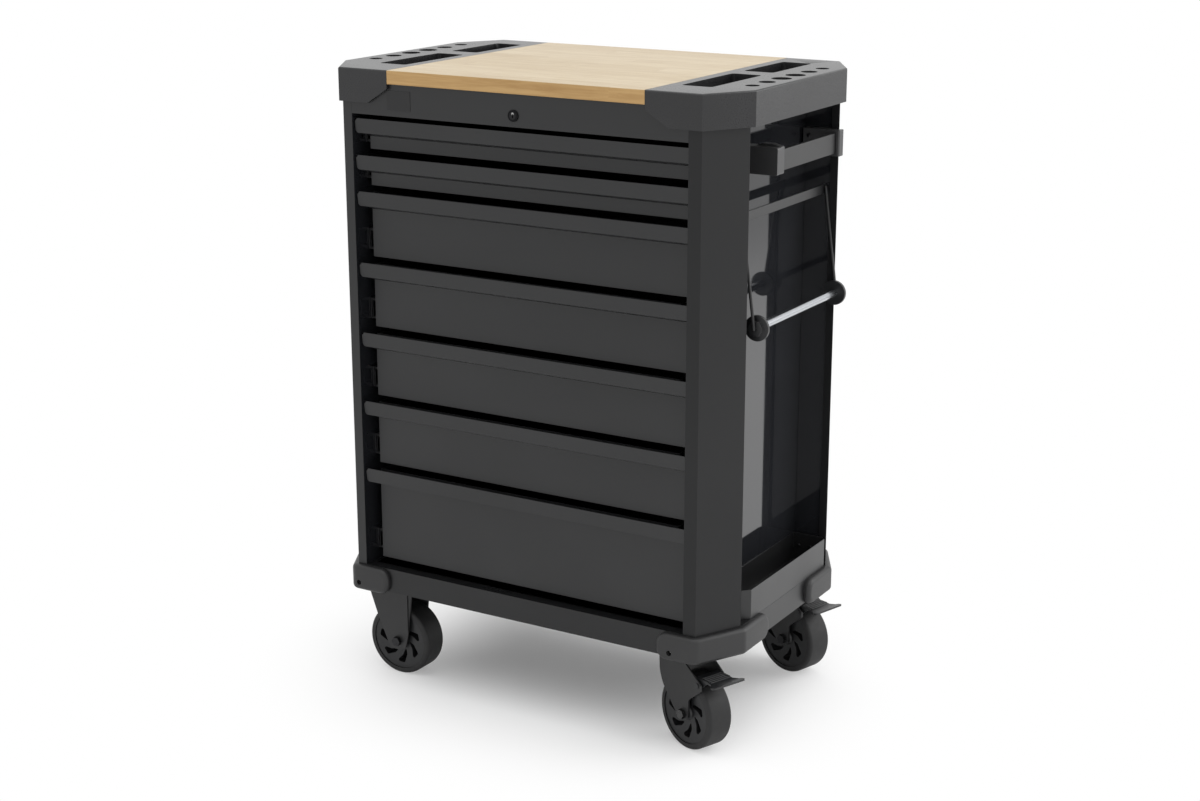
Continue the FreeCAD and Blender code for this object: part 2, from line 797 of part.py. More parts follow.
def make_cap(label, side):
    """Moulded end cap: skirt, cut-off corners, two wells and six graded tool holes."""
    cap = Piece(label)
    inner = side * S.board_half
    outer = side * cap_half
    bevel = side * (cap_half - S.cap_corner_in)
    cap.pad("XY", cap_bottom, top_height, [
        (inner, cap_front_y), (bevel, cap_front_y), (outer, cap_front_y + S.cap_corner_run),
        (outer, cap_back_y - S.cap_corner_run), (bevel, cap_back_y), (inner, cap_back_y),
    ])
    rim_height = val(top_height)
    cap.soften(S.cap_edge, lambda edge: abs(edge.BoundBox.ZMin - rim_height) < 1e-3
               and abs(edge.CenterOfMass.x - val(inner)) > 1e-3)
    past = side * (S.board_half - S.cap_edge)
    gap = S.cap_gap
    cap.cut("XY", cap_bottom, S.deck_height, [
        (past, front_y - gap), (side * corner_x, front_y - gap), (side * (S.body_half + gap), front_corner_y),
        (side * (S.body_half + gap), rear_corner_y), (side * corner_x, back_y + gap), (past, back_y + gap),
    ])
    hollow_in = side * (S.body_half - S.left_post_width + S.panel_sheet)
    hollow_out = side * (S.body_half + gap)
    cap.cut("XY", S.deck_height, top_height - S.cap_plate, rectangle(
        hollow_in, front_corner_y, hollow_out, rear_corner_y))
    cap.cut("XZ", cap_front_y, cap_back_y, [
        (past, cap_bottom), (side * (S.board_half + S.cap_notch_width), cap_bottom),
        (inner, cap_bottom + S.cap_notch_height), (past, cap_bottom + S.cap_notch_height),
    ])
    well_near = inner + side * S.well_in
    well_far = well_near + side * S.well_width
    for start, length in ((S.well_front, S.well_front_length), (S.well_rear, S.well_rear_length)):
        cap.cut("XY", top_height - S.well_depth, top_height, rectangle(
            well_near, start, well_far, start + length, S.well_corner))
    hole_x = outer - side * S.hole_in
    widths = [S.hole_small, S.hole_medium, S.hole_large, S.hole_large, S.hole_medium, S.hole_small]
    holes = [circle(hole_x, S.hole_first + index * S.hole_pitch, width / 2)
             for index, width in enumerate(widths)]
    cap.cut("XY", top_height - S.cap_plate, top_height, *holes)
    keep(cap, label)


def make_bumper(name, side, toward):
    """One moulded corner: a band round the base's corner with rounded ends and edges."""
    run_y = front_corner_y if toward < 0 else rear_corner_y
    face_y = front_y if toward < 0 else back_y
    line = [
        (side * (corner_x - S.bumper_front_leg), face_y), (side * corner_x, face_y),
        (side * right_x, run_y),
        (side * right_x, run_y - toward * S.bumper_side_leg),
    ]
    if side * toward > 0:
        line = line[::-1]
    band = folded(line[::-1], S.bumper_thick)
    band[-3:-1] = [bend + (S.bumper_round,) for bend in band[-3:-1]]
    low = S.base_bottom - S.bumper_drop
    bumper = Piece(name).pad("XY", low, low + S.bumper_height, band)
    leg_x = abs(val(corner_x) - val(S.bumper_front_leg))
    leg_y = val(run_y) - toward * val(S.bumper_side_leg)

    def at_end(edge):
        middle = edge.CenterOfMass
        level = abs(edge.Vertexes[0].Z - edge.Vertexes[1].Z) < 1e-3
        return level and (abs(abs(middle.x) - leg_x) < 1e-3 or abs(middle.y - leg_y) < 1e-3)

    bumper.soften(S.bumper_end, at_end)

    def on_outside(edge):
        middle = edge.CenterOfMass
        return outside_base(middle.x, middle.y, val(S.bumper_thick) * OUTER_SHARE)

    bumper.soften(S.bumper_edge, on_outside)
    screw_x = S.bumper_screw_left if side < 0 else S.bumper_screw_right
    hole_low = face_y - S.bumper_thick if toward < 0 else face_y
    bumper.cut("XZ", hole_low, hole_low + S.bumper_thick,
               circle(side * screw_x, S.bumper_screw_height, S.bumper_screw_hole / 2))
    return bumper


def outside_base(x, y, distance):
    """Whether a point lies at least that far outside the base's outline."""
    half, inner = val(right_x), val(corner_x)
    low, high = (val(front_y), val(front_corner_y)), (val(back_y), val(rear_corner_y))
    best = max(abs(x) - half, low[0] - y, y - high[0])
    for face, run in (low, high):
        normal_x, normal_y = abs(run - face), half - inner
        length = math.hypot(normal_x, normal_y)
        across = (abs(x) - inner) * normal_x / length
        best = max(best, across - abs(y - face) * normal_y / length * (1 if (y > face) == (run > face) else -1))
    return best > distance


def make_bumpers():
    corners = [("left_front", -1, -1), ("right_front", 1, -1), ("left_rear", -1, 1), ("right_rear", 1, 1)]
    keep(group("bumpers", [make_bumper(f"{name}_bumper", side, toward) for name, side, toward in corners]),
         "corner_bumpers")


def drawer_levels():
    """Top of the pull and height of the front of each drawer, from the top one down."""
    fronts = [S.small_front] * 2 + [S.medium_front] * 4 + [S.large_front]
    level = opening_top - S.drawer_top_gap
    result = []
    for height in fronts:
        result.append((level, height))
        level = level - height - S.drawer_gap
    return result


def channel(web_x, tip_x, half, level):
    """A drawer slide's member: a channel lying on its side, open towards its tips."""
    line = [(tip_x, level + half), (web_x, level + half), (web_x, level - half), (tip_x, level - half)]
    return folded(line if val(tip_x) > val(web_x) else line[::-1], S.slide_sheet)


def make_drawer(number, top, height):
    """One drawer: box with inner slide members, folded front with its pull, middle slide members."""
    front_face = front_y + S.front_set_back
    box_front = S.box_front
    bottom = top - height
    box_left = left_wall_x + S.slide_space
    box_right = right_wall_x - S.slide_space
    front_right = right_wall_x - S.front_right_gap
    name = f"drawer_{number}"

    lip_top = front_face - S.pull_reach
    lip_bottom = lip_top + S.pull_tilt
    line = [
        (front_face + S.front_hem, bottom), (front_face, bottom),
        (front_face, top - S.pull_height - S.pull_slope), (lip_bottom, top - S.pull_height), (lip_top, top),
    ]
    front = Piece(f"{name}_front")
    front.pad("YZ", box_left - S.pull_overhang, front_right, folded(line[::-1], S.front_sheet))
    front.cut("XZ", lip_top, front_face + S.front_hem, rectangle(
        box_left - S.pull_overhang, bottom, box_left, top - S.pull_height - S.front_sheet))
    pull_left = box_left - S.pull_overhang
    for height, way in ((top, -1), (top - S.pull_height - S.front_sheet, 1)):
        front.cut("XZ", lip_top, front_face, [
            (pull_left, height), (pull_left + S.pull_end, height), (pull_left, height + way * S.pull_end),
        ])
    front.cut("YZ", box_right, front_right, rectangle(
        box_front, bottom, box_front + S.front_hem, bottom + S.front_sheet))
    keep(front, f"{name}_front")

    box_low = bottom + S.box_lift
    box_high = top - S.box_drop
    box_back = S.box_back
    box = Piece(f"{name}_tray").pad("XY", box_low, box_high, rectangle(box_left, box_front, box_right, box_back))
    box.cut("XY", box_low + S.box_sheet, box_high, rectangle(
        box_left + S.box_sheet, box_front + S.box_sheet, box_right - S.box_sheet, box_back - S.box_sheet))

    level = box_low + S.slide_lift + S.slide_height / 2
    slide_front = box_front + S.slide_set_back
    slide_back = slide_front + S.slide_length
    rail_half = S.slide_height / 2
    middle_half = rail_half - S.slide_sheet - S.slide_gap
    inner_half = middle_half - S.slide_sheet - S.slide_gap
    middle_x = left_wall_x + S.slide_sheet + S.slide_web_gap
    rail = Piece(f"{name}_rail").pad("XZ", slide_front, slide_back, channel(
        left_wall_x, left_wall_x + S.rail_depth, rail_half, level))
    middle = Piece(f"{name}_middle").pad("XZ", slide_front, slide_back, channel(
        middle_x, middle_x + S.middle_depth, middle_half, level))
    inner = Piece(f"{name}_inner").pad("XZ", slide_front, slide_back, channel(
        box_left, box_left - S.inner_depth, inner_half, level))
    twin = mirrored(f"{name}_inner_right", inner, slide_middle_x)
    keep(group(f"{name}_box_group", [box, inner, twin]), f"{name}_box")
    keep(group(f"{name}_slide_group", [middle, mirrored(f"{name}_middle_right", middle, slide_middle_x)]),
         f"{name}_slide")
    return [rail, mirrored(f"{name}_rail_right", rail, slide_middle_x)]


def make_drawers():
    rails = []
    for index, (top, height) in enumerate(drawer_levels(), start=1):
        rails += make_drawer(index, top, height)
    keep(group("rails", rails), "slide_rails")


def make_lock():
    """Lock with a housing, a core that turns a cam, and the bar that the cam lets down at the back."""
    face = S.lock_face / 2
    barrel = S.lock_barrel / 2
    bore = S.lock_core / 2 + S.lock_fit
    rim_front = front_y - S.lock_rim
    rear = front_y + S.lock_length
    housing = Piece("housing").pad("XZ", rim_front, front_y, circle(0.0, S.lock_height, face))
    housing.pad("XZ", front_y, rear, circle(0.0, S.lock_height, barrel))
    housing.cut("XZ", rim_front, rear, circle(0.0, S.lock_height, bore))
    keep(housing, "lock_housing")

    core_radius = S.lock_core / 2
    core = Piece("core").pad("XZ", rim_front, rear + S.cam_sheet, circle(0.0, S.lock_height, core_radius))
    cam_half = S.cam_pin / 2 + S.cam_sheet
    core.pad("XZ", rear + S.bar_gap, rear + S.cam_sheet, rectangle(
        -cam_half, S.lock_height - core_radius, cam_half, S.lock_height + S.cam_offset + cam_half))
    pin_end = rear + S.cam_sheet + S.cam_pin_length
    core.pad("XZ", rear + S.cam_sheet, pin_end, circle(0.0, S.lock_height + S.cam_offset, S.cam_pin / 2))
    core.cut("XZ", rim_front, rim_front + S.cam_pin_length, rectangle(
        -S.key_slot_width / 2, S.lock_height - S.key_slot_height / 2,
        S.key_slot_width / 2, S.lock_height + S.key_slot_height / 2))
    keep(core, "lock_cylinder")

    arm_low = S.lock_height + S.cam_offset + S.cam_pin / 2 + S.bar_rest_gap
    bar_back = back_y - S.panel_sheet - S.bar_gap
    bar_front = bar_back - S.bar_channel
    half = S.bar_width / 2
    levels = drawer_levels()
    foot = levels[-1][0] - S.box_drop - S.slide_height
    bar = Piece("bar").pad("XY", foot, arm_low + S.bar_sheet, folded([
        (half, bar_front), (half, bar_back), (-half, bar_back), (-half, bar_front)], S.bar_sheet))
    arm_front = rear + S.cam_sheet + S.bar_arm_gap
    bar.pad("XY", arm_low, arm_low + S.bar_sheet, rectangle(-half, arm_front, half, bar_front + S.bar_sheet))
    hooks = []
    for top, _ in levels:
        wall_top = top - S.box_drop
        high = wall_top + S.hook_gap + S.bar_drop + S.hook_gap + S.hook_rise
        tip_y = S.box_back - S.hook_reach
        hooks.append([
            (tip_y, wall_top + S.hook_gap), (tip_y + S.hook_tip, wall_top + S.hook_gap),
            (tip_y + S.hook_tip, high - S.hook_rise), (bar_back - S.bar_sheet / 2, high - S.hook_rise),
            (bar_back - S.bar_sheet / 2, high), (tip_y, high),
        ])
    bar.pad("YZ", -S.hook_width / 2, S.hook_width / 2, *hooks)
    keep(bar, "lock_bar")


def make_tray():
    """Shelf tray on the base's flange in the bay, with bevelled outer corners."""
    near = bay_wall_x + S.tray_gap
    rear = rear_corner_y - S.tray_gap
    line = [
        (near, S.tray_front), (right_x - S.tray_bevel, S.tray_front), (right_x, S.tray_front + S.tray_bevel),
        (right_x, rear - S.tray_rear_bevel), (right_x - S.tray_rear_bevel, rear), (near, rear),
    ]
    tray = Piece("tray").pad("XY", base_top, base_top + S.tray_height, line)
    tray.cut("XY", base_top + S.panel_sheet, base_top + S.tray_height, inner_outline(line))
    keep(tray, "shelf_tray")


def make_handle():
    """Push bar: a flat bar between a bracket arm on the wall and a bracket in the rear corner."""
    low = S.handle_height - S.handle_bar_height / 2
    high = S.handle_height + S.handle_bar_height / 2
    bar_out = right_x - S.handle_bar_inset
    bar_in = bar_out - S.handle_bar_thick
    bracket_back = S.bracket_front + S.bracket_thick
    rear_front = rear_corner_y - S.rear_bracket_thick
    bar_front = bracket_back - S.bracket_socket
    bar_back = rear_front + S.bracket_socket
    keep(Piece("bar_flat").pad("XY", low, high, rectangle(bar_in, bar_front, bar_out, bar_back)), "push_bar")

    fit = S.bracket_fit
    half = S.bracket_height / 2
    arm_out = right_x + S.bracket_proud
    arm = Piece("front_arm").pad("XZ", S.bracket_front, bracket_back, rectangle(
        bay_wall_x, S.handle_height - half, arm_out, S.handle_height + half, S.bracket_edge))
    arm_top = S.handle_height + half
    hump_top = arm_top + S.bracket_hump
    arm.pad("XZ", bracket_back - S.bracket_hump_thick, bracket_back, [
        (bay_wall_x + S.bracket_hump_in, S.handle_height), (arm_out, S.handle_height),
        (arm_out, arm_top, S.bracket_edge), (arm_out - S.bracket_hump_out, hump_top, S.bracket_edge),
        (bay_wall_x + S.bracket_hump_rise, hump_top, S.bracket_edge), (bay_wall_x + S.bracket_hump_in, arm_top),
    ])
    arm.cut("XY", low - fit, high + fit, rectangle(bar_in - fit, bar_front - fit, bar_out + fit, bracket_back))
    keep(arm, "handle_front_bracket")

    proud = right_x + S.rear_bracket_proud
    flange_x = right_x - S.bay_flange - S.tray_gap
    wrap_y = rear_corner_y + S.rear_bracket_wrap
    block = Piece("rear_block").pad("XY", S.handle_height - half, S.handle_height + half, [
        (bay_wall_x + S.bracket_edge, rear_front), (proud, rear_front, S.bracket_edge),
        (proud, wrap_y, S.bracket_edge / 2), (right_x + S.tray_gap, wrap_y, S.bracket_edge / 3),
        (right_x + S.tray_gap, rear_corner_y), (flange_x, rear_corner_y), (flange_x, bay_panel_y),
        (bay_wall_x + S.bracket_edge, bay_panel_y),
    ])
    block.cut("XY", low - fit, high + fit, rectangle(bar_in - fit, rear_front, bar_out + fit, bar_back + fit))
    keep(block, "handle_rear_bracket")


def make_roll_holder():
    """Paper-roll holder: a rail, two wire arms, and between their bent ends a tube with two discs."""
    rail_in = S.roll_rail_x - S.roll_rail_thick / 2
    rail_out = S.roll_rail_x + S.roll_rail_thick / 2
    wire = S.roll_wire / 2
    rail_low = S.roll_rail_top - S.roll_rail_height
    bracket = Piece("rail").pad("XZ", front_corner_y, bay_panel_y, rectangle(
        rail_in, rail_low, rail_out, S.roll_rail_top))
    arms = []
    for name, y, pin_way in (("front", S.roll_front, 1), ("rear", S.roll_rear, -1)):
        arms += make_arm(name, rail_out + wire, S.roll_rail_top - wire, y, pin_way)
    fused = doc.addObject("Part::MultiFuse", "roll_frame")
    fused.Shapes = [bracket.body] + arms
    keep(fused, "roll_bracket")

    hub_front = S.roll_front + wire + S.roll_gap
    front_disc = hub_front + S.roll_hub_thick
    rear_disc = S.roll_rear - wire - S.roll_gap - S.roll_disc_thick
    bore = wire + S.roll_fit
    tube_radius = S.roll_tube / 2
    discs = Piece("front_disc").pad("XZ", front_disc, front_disc + S.roll_disc_thick, circle(
        S.roll_x, S.roll_height, S.roll_disc / 2))
    lobes = []
    for index in range(ROLL_LOBES):
        angle = 2 * math.pi * index / ROLL_LOBES
        reach = S.roll_hub / 2 - S.roll_lobe / 2
        lobes.append((S.roll_x + reach * math.cos(angle), S.roll_height + reach * math.sin(angle)))
    discs.pad("XZ", hub_front, front_disc, circle(S.roll_x, S.roll_height, S.roll_hub / 2))
    for x, z in lobes:
        discs.pad("XZ", hub_front, front_disc, circle(x, z, S.roll_lobe))
    discs.cut("XZ", hub_front, front_disc + S.roll_disc_thick, circle(S.roll_x, S.roll_height, bore))
    back = Piece("rear_disc").pad("XZ", rear_disc, rear_disc + S.roll_disc_thick, circle(
        S.roll_x, S.roll_height, S.roll_disc / 2))
    back.cut("XZ", rear_disc, rear_disc + S.roll_disc_thick, circle(S.roll_x, S.roll_height, bore))
    keep(group("roll_disc_pair", [discs, back]), "roll_discs")

    tube = Piece("tube").pad("XZ", front_disc + S.roll_disc_thick, rear_disc, circle(
        S.roll_x, S.roll_height, tube_radius))
    tube.cut("XZ", front_disc + S.roll_disc_thick, rear_disc, circle(
        S.roll_x, S.roll_height, tube_radius - S.roll_tube_wall))
    keep(tube, "roll_tube")


def make_arm(name, top_x, top_z, y, way):
    """One wire arm: a slanted length of wire, a rounded bend and the pin that the disc turns on."""
    wire = S.roll_wire / 2
    dx = S.roll_x - top_x
    dz = top_z - S.roll_height
    length = root(dx * dx + dz * dz)
    slant = doc.addObject("Part::Cylinder", f"{name}_arm")
    bind(slant, "Radius", wire)
    bind(slant, "Height", length)
    slant.Placement = Placement(Vector(0, 0, 0), Rotation(Vector(0, 1, 0), 170))
    bind(slant, "Placement.Rotation.Angle", Dim(180 - math.degrees(math.atan2(val(dx), val(dz))),
                                               f"(180 - atan2({txt(dx)}; {txt(dz)}) / 1 deg)"))
    bind(slant, "Placement.Base.x", top_x)
    bind(slant, "Placement.Base.y", y)
    bind(slant, "Placement.Base.z", top_z)
    bend = doc.addObject("Part::Sphere", f"{name}_bend")
    bind(bend, "Radius", wire)
    bind(bend, "Placement.Base.x", S.roll_x)
    bind(bend, "Placement.Base.y", y)
    bind(bend, "Placement.Base.z", S.roll_height)
    pin = doc.addObject("Part::Cylinder", f"{name}_pin")
    bind(pin, "Radius", wire)
    bind(pin, "Height", S.roll_pin_length)
    pin.Placement = Placement(Vector(0, 0, 0), Rotation(Vector(1, 0, 0), -90 * way))
    bind(pin, "Placement.Base.x", S.roll_x)
    bind(pin, "Placement.Base.y", y)
    bind(pin, "Placement.Base.z", S.roll_height)
    return [slant, bend, pin]


def make_wheel(label, x, y, turn):
    """Wheel: a core with seven swirled openings and a hub, and a tyre round it."""
    bore = S.axle_radius + S.axle_fit
    half = S.wheel_width / 2
    core = Piece(f"{label}_core").spin("YZ", "H_Axis", [
        (-half + S.hub_recess, bore), (half - S.hub_recess, bore),
        (half - S.hub_recess, S.hub_radius), (half - S.web_recess, S.hub_radius + S.hub_slope),
        (half - S.rim_recess, S.rim_radius - S.rim_lip), (half - S.rim_recess, S.rim_radius),
        (-half + S.rim_recess, S.rim_radius), (-half + S.rim_recess, S.rim_radius - S.rim_lip),
        (-half + S.web_recess, S.hub_radius + S.hub_slope), (-half + S.hub_recess, S.hub_radius),
    ])
    core.cut("XZ", -half, half, swirl())
    core.repeat("Y_Axis", S.swirl_count)
    tyre = Piece(f"{label}_tyre").spin("YZ", "H_Axis", [
        (-half, S.rim_radius), (half, S.rim_radius), (half, S.wheel_radius, S.tyre_edge),
        (-half, S.wheel_radius, S.tyre_edge),
    ])
    keep(group(f"{label}_group", [core, tyre]), label, x, y, S.wheel_radius, turn)


def swirl():
    """One opening of the wheel, a leaning drop: narrow at the hub and broad at the rim."""
    depth = S.swirl_outer - S.swirl_inner
    corners = []
    for share, angle, corner in SWIRL:
        reach = S.swirl_inner + depth * share
        turn = math.radians(angle)
        corners.append((reach * math.cos(turn), reach * math.sin(turn), S.swirl_corner * corner))
    return corners


def fork_half():
    """Distance from the wheel's middle plane to the outside of a fork leg."""
    return S.wheel_width / 2 + S.fork_gap + S.fork_sheet


def fixed_fork(name, x, y):
    """Rigid fork: a top plate and two legs, each broad at the top and narrow at the axle."""
    outer = fork_half()
    inner = outer - S.fork_sheet
    plate_low = S.base_bottom - S.plate_sheet
    fork = Piece(name).pad("XY", plate_low, S.base_bottom, rectangle(
        -S.plate_long / 2, -S.plate_wide / 2, S.plate_long / 2, S.plate_wide / 2, S.plate_corner))
    foot = S.wheel_radius - S.leg_foot
    leg = [
        (-S.plate_long / 2, plate_low), (-S.plate_long / 2, plate_low - S.leg_drop),
        (-S.leg_waist, S.wheel_radius + S.leg_waist_up, S.leg_foot), (-S.leg_foot, foot, S.leg_foot),
        (S.leg_foot, foot, S.leg_foot), (S.leg_heel, S.wheel_radius + S.leg_heel_up, S.leg_foot),
        (S.leg_top, plate_low),
    ]
    rib = rectangle(S.leg_heel - S.leg_rib_width, S.wheel_radius + S.leg_rib_up, S.leg_heel, plate_low,
                    S.leg_rib_corner)
    hole = circle(0.0, S.wheel_radius, S.axle_radius)
    fork.pad("XZ", -outer, -inner, leg)
    fork.pad("XZ", inner, outer, leg)
    fork.pad("XZ", -outer - S.leg_rib, -inner, rib)
    fork.pad("XZ", inner, outer + S.leg_rib, rib)
    fork.cut("XZ", -outer, outer, hole)
    fork.cut("XY", plate_low, S.base_bottom, *bolt_holes())
    return moved(f"{name}_placed", fork, x, y)


def axle(name, x, y, turn=None):
    """Axle bolt with a nut at both ends, through the fork's legs and the wheel's hub."""
    outer = fork_half()
    end = outer + S.axle_nut_thick
    bolt = Piece(f"{name}_bolt").pad("XZ", -end, end, circle(0.0, 0.0, S.axle_radius))
    turns = [2 * math.pi * k / HEX_SIDES for k in range(HEX_SIDES)]
    flats = [(S.axle_nut * math.cos(angle), S.axle_nut * math.sin(angle)) for angle in turns]
    bolt.pad("XZ", -end, -outer, flats)
    bolt.pad("XZ", outer, end, flats)
    return moved(f"{name}_placed", bolt, x, y, S.wheel_radius, turn)


def make_fixed_castors():
    forks = []
    axles = []
    for name, y in (("front", S.castor_front), ("rear", S.castor_rear)):
        forks.append(fixed_fork(f"{name}_fixed_fork", -S.fixed_x, y))
        axles.append(axle(f"{name}_fixed_axle", -S.fixed_x, y))
        make_wheel(f"{name}_fixed_wheel", -S.fixed_x, y, None)
    keep(group("fixed_fork_pair", forks), "fixed_castor_forks")
    keep(group("fixed_axle_pair", axles), "fixed_castor_axles")


def make_swivel_castor(name, y, turn):
    """Swivel castor: fork turning on the plate's king pin, wheel behind it, brake pedal on the fork's arms."""
    outer = fork_half()
    inner = outer - S.fork_sheet
    crown_high = S.base_bottom - S.plate_sheet - S.race_height
    crown_low = crown_high - S.fork_sheet
    fork = Piece(f"{name}_fork").pad("XY", crown_low, crown_high, rectangle(
        -S.race_radius, -outer, S.race_radius + S.fork_sheet, outer, S.axle_nut))
    pivot = (S.pedal_pivot_x, S.pedal_pivot_height)
    foot = S.wheel_radius - S.axle_nut
    leg = [
        (-S.race_radius, crown_high, S.fork_sheet),
        (-S.swivel_leg_back, S.wheel_radius + S.swivel_leg_back_up, S.wheel_radius),
        (S.trail - S.swivel_foot, foot, S.axle_nut), (S.trail + S.swivel_foot, foot, S.axle_nut),
        (S.trail + S.swivel_notch, S.wheel_radius + S.swivel_notch_up, S.axle_nut),
        (S.pedal_pivot_x + S.axle_nut, S.pedal_pivot_height - S.axle_nut, S.axle_nut / 2),
        (S.pedal_pivot_x + S.axle_nut, S.pedal_pivot_height + S.pedal_pin, S.axle_nut / 2),
        (S.race_radius + S.fork_sheet, crown_high),
    ]
    fork.pad("XZ", -outer, -inner, leg)
    fork.pad("XZ", inner, outer, leg)
    fork.cut("XY", crown_low, crown_high, circle(0.0, 0.0, S.king_radius + S.king_fit))
    fork.cut("XZ", -outer, outer, circle(S.trail, S.wheel_radius, S.axle_radius),
             circle(*pivot, S.pedal_pin + S.pedal_fit))
    keep(fork, f"{name}_swivel_fork", S.swivel_x, y, 0.0, -turn)

    wheel_x = S.swivel_x + S.trail * cosine(turn)
    wheel_y = y - S.trail * sine(turn)
    keep(group(f"{name}_swivel_axle_group", [axle(f"{name}_swivel_axle", 0.0, 0.0)]),
         f"{name}_swivel_axle", wheel_x, wheel_y, 0.0, -turn)
    make_wheel(f"{name}_swivel_wheel", wheel_x, wheel_y, -turn)
    make_pedal(name, y, turn, inner)
    plate_low = S.base_bottom - S.plate_sheet
    plate = Piece(f"{name}_plate").pad("XY", plate_low, S.base_bottom, rectangle(
        -S.plate_long / 2, -S.plate_wide / 2, S.plate_long / 2, S.plate_wide / 2, S.plate_corner))
    plate.pad("XY", crown_high + S.race_gap, plate_low, circle(0.0, 0.0, S.race_radius))
    plate.pad("XY", crown_low - S.race_gap, plate_low, circle(0.0, 0.0, S.king_radius))
    plate.pad("XY", crown_low - S.race_gap - S.fork_sheet, crown_low - S.race_gap, circle(
        0.0, 0.0, S.king_radius + S.fork_sheet))
    plate.cut("XY", plate_low, S.base_bottom, *bolt_holes())
    return moved(f"{name}_plate_placed", plate, S.swivel_x, y)


def make_pedal(name, y, turn, inner):
    """Brake pedal: a bent plate cut to a spade, with two cheeks and the pin that it turns on."""
    pivot_x, pivot_z = S.pedal_pivot_x, S.pedal_pivot_height
    tip_x = S.pedal_reach
    heel_x = pivot_x - S.pedal_heel
    bend = folded([
        (tip_x, S.pedal_height + S.pedal_sheet), (tip_x - S.pedal_lip, S.pedal_height),
        (heel_x, S.pedal_height + S.pedal_sheet / 2)], S.pedal_sheet)
    plate = Piece(f"{name}_pedal_plate").pad("XZ", -S.pedal_tip, S.pedal_tip, bend)
    neck_x = tip_x - S.pedal_flare
    wide_x = tip_x - S.pedal_tip_run
    spade = Piece(f"{name}_pedal_spade").pad("XY", pivot_z, S.pedal_height + 3 * S.pedal_sheet, [
        (heel_x, -S.pedal_neck), (neck_x, -S.pedal_neck), (wide_x, -S.pedal_tip, S.pedal_corner),
        (tip_x, -S.pedal_tip, S.pedal_corner), (tip_x, S.pedal_tip, S.pedal_corner),
        (wide_x, S.pedal_tip, S.pedal_corner), (neck_x, S.pedal_neck), (heel_x, S.pedal_neck),
    ])
    outline = doc.addObject("Part::Common", f"{name}_pedal_outline")
    outline.Base = plate.body
    outline.Tool = spade.body
    cheeks = Piece(f"{name}_pedal_cheeks").pad("XZ", -S.pedal_neck, -S.pedal_neck + S.pedal_sheet, cheek())
    cheeks_far = Piece(f"{name}_pedal_cheek_far").pad("XZ", S.pedal_neck - S.pedal_sheet, S.pedal_neck, cheek())
    reach = inner + S.fork_sheet
    pin = Piece(f"{name}_pedal_pin").pad("XZ", -reach - S.pedal_fit, reach + S.pedal_fit, circle(
        pivot_x, pivot_z, S.pedal_pin))
    head_end = reach + S.pedal_sheet / 2
    pin.pad("XZ", -head_end, -reach - S.pedal_fit, circle(pivot_x, pivot_z, S.pedal_pin_head))
    pin.pad("XZ", reach + S.pedal_fit, head_end, circle(pivot_x, pivot_z, S.pedal_pin_head))
    pedal = doc.addObject("Part::MultiFuse", f"{name}_pedal")
    pedal.Shapes = [outline, cheeks.body, cheeks_far.body, pin.body]
    keep(pedal, f"{name}_brake_pedal", S.swivel_x, y, 0.0, -turn)


def cheek():
    """Side of the pedal that hangs down to its pin."""
    x, z = S.pedal_pivot_x, S.pedal_pivot_height
    top = S.pedal_height
    return [
        (x - S.cheek_back, top + S.pedal_sheet / 2), (x - S.cheek_half, z - S.cheek_low, S.pedal_pin),
        (x + S.cheek_half, z - S.cheek_low, S.pedal_pin), (x + S.cheek_front, top),
        (x + S.cheek_front, top + S.pedal_sheet / 2),
    ]


def make_swivel_castors():
    plates = [make_swivel_castor("front", S.castor_front, S.front_turn),
              make_swivel_castor("rear", S.castor_rear, S.rear_turn)]
    keep(group("swivel_plate_pair", plates), "swivel_castor_plates")


def make_bolts():
    """The sixteen bolts that hold the castors' plates to the base."""
    bolts = []
    for index, (x, y) in enumerate(bolt_spots(), start=1):
        low = S.base_bottom - S.plate_sheet
        bolt = Piece(f"castor_bolt_{index}").pad("XY", low, S.base_bottom + S.bolt_tail, circle(
            x, y, S.bolt_radius))
        bolt.pad("XY", low - S.bolt_head_thick, low, circle(x, y, S.bolt_head))
        bolts.append(bolt)
    keep(group("bolt_set", bolts), "castor_bolts")


def make_screws():
    """Small screws: one in each bumper, two in the tray's rear rim and one in the rear handle bracket."""
    screws = []
    for side, spot in ((-1, S.bumper_screw_left), (1, S.bumper_screw_right)):
        for toward, face in ((-1, front_y), (1, back_y)):
            low, high = (face - S.screw_head_thick, face) if toward < 0 else (face, face + S.screw_head_thick)
            screw = Piece(f"screw_{side + 2}_{toward + 2}").pad("XZ", low, high, circle(
                side * spot, S.bumper_screw_height, S.screw_head))
            screws.append(screw)
    tray_back = rear_corner_y - S.tray_gap - S.panel_sheet
    handle_front = rear_corner_y - S.rear_bracket_thick
    spots = [(S.tray_screw_x - k * S.tray_screw_pitch, base_top + S.tray_screw_height, tray_back) for k in (0, 1)]
    spots.append((S.rear_bracket_screw_x, S.rear_bracket_screw_height, handle_front))
    for index, (x, z, face) in enumerate(spots):
        screws.append(Piece(f"bay_screw_{index}").pad("XZ", face - S.screw_head_thick, face, circle(
            x, z, S.screw_head)))
    keep(group("screw_set", screws), "panel_screws")


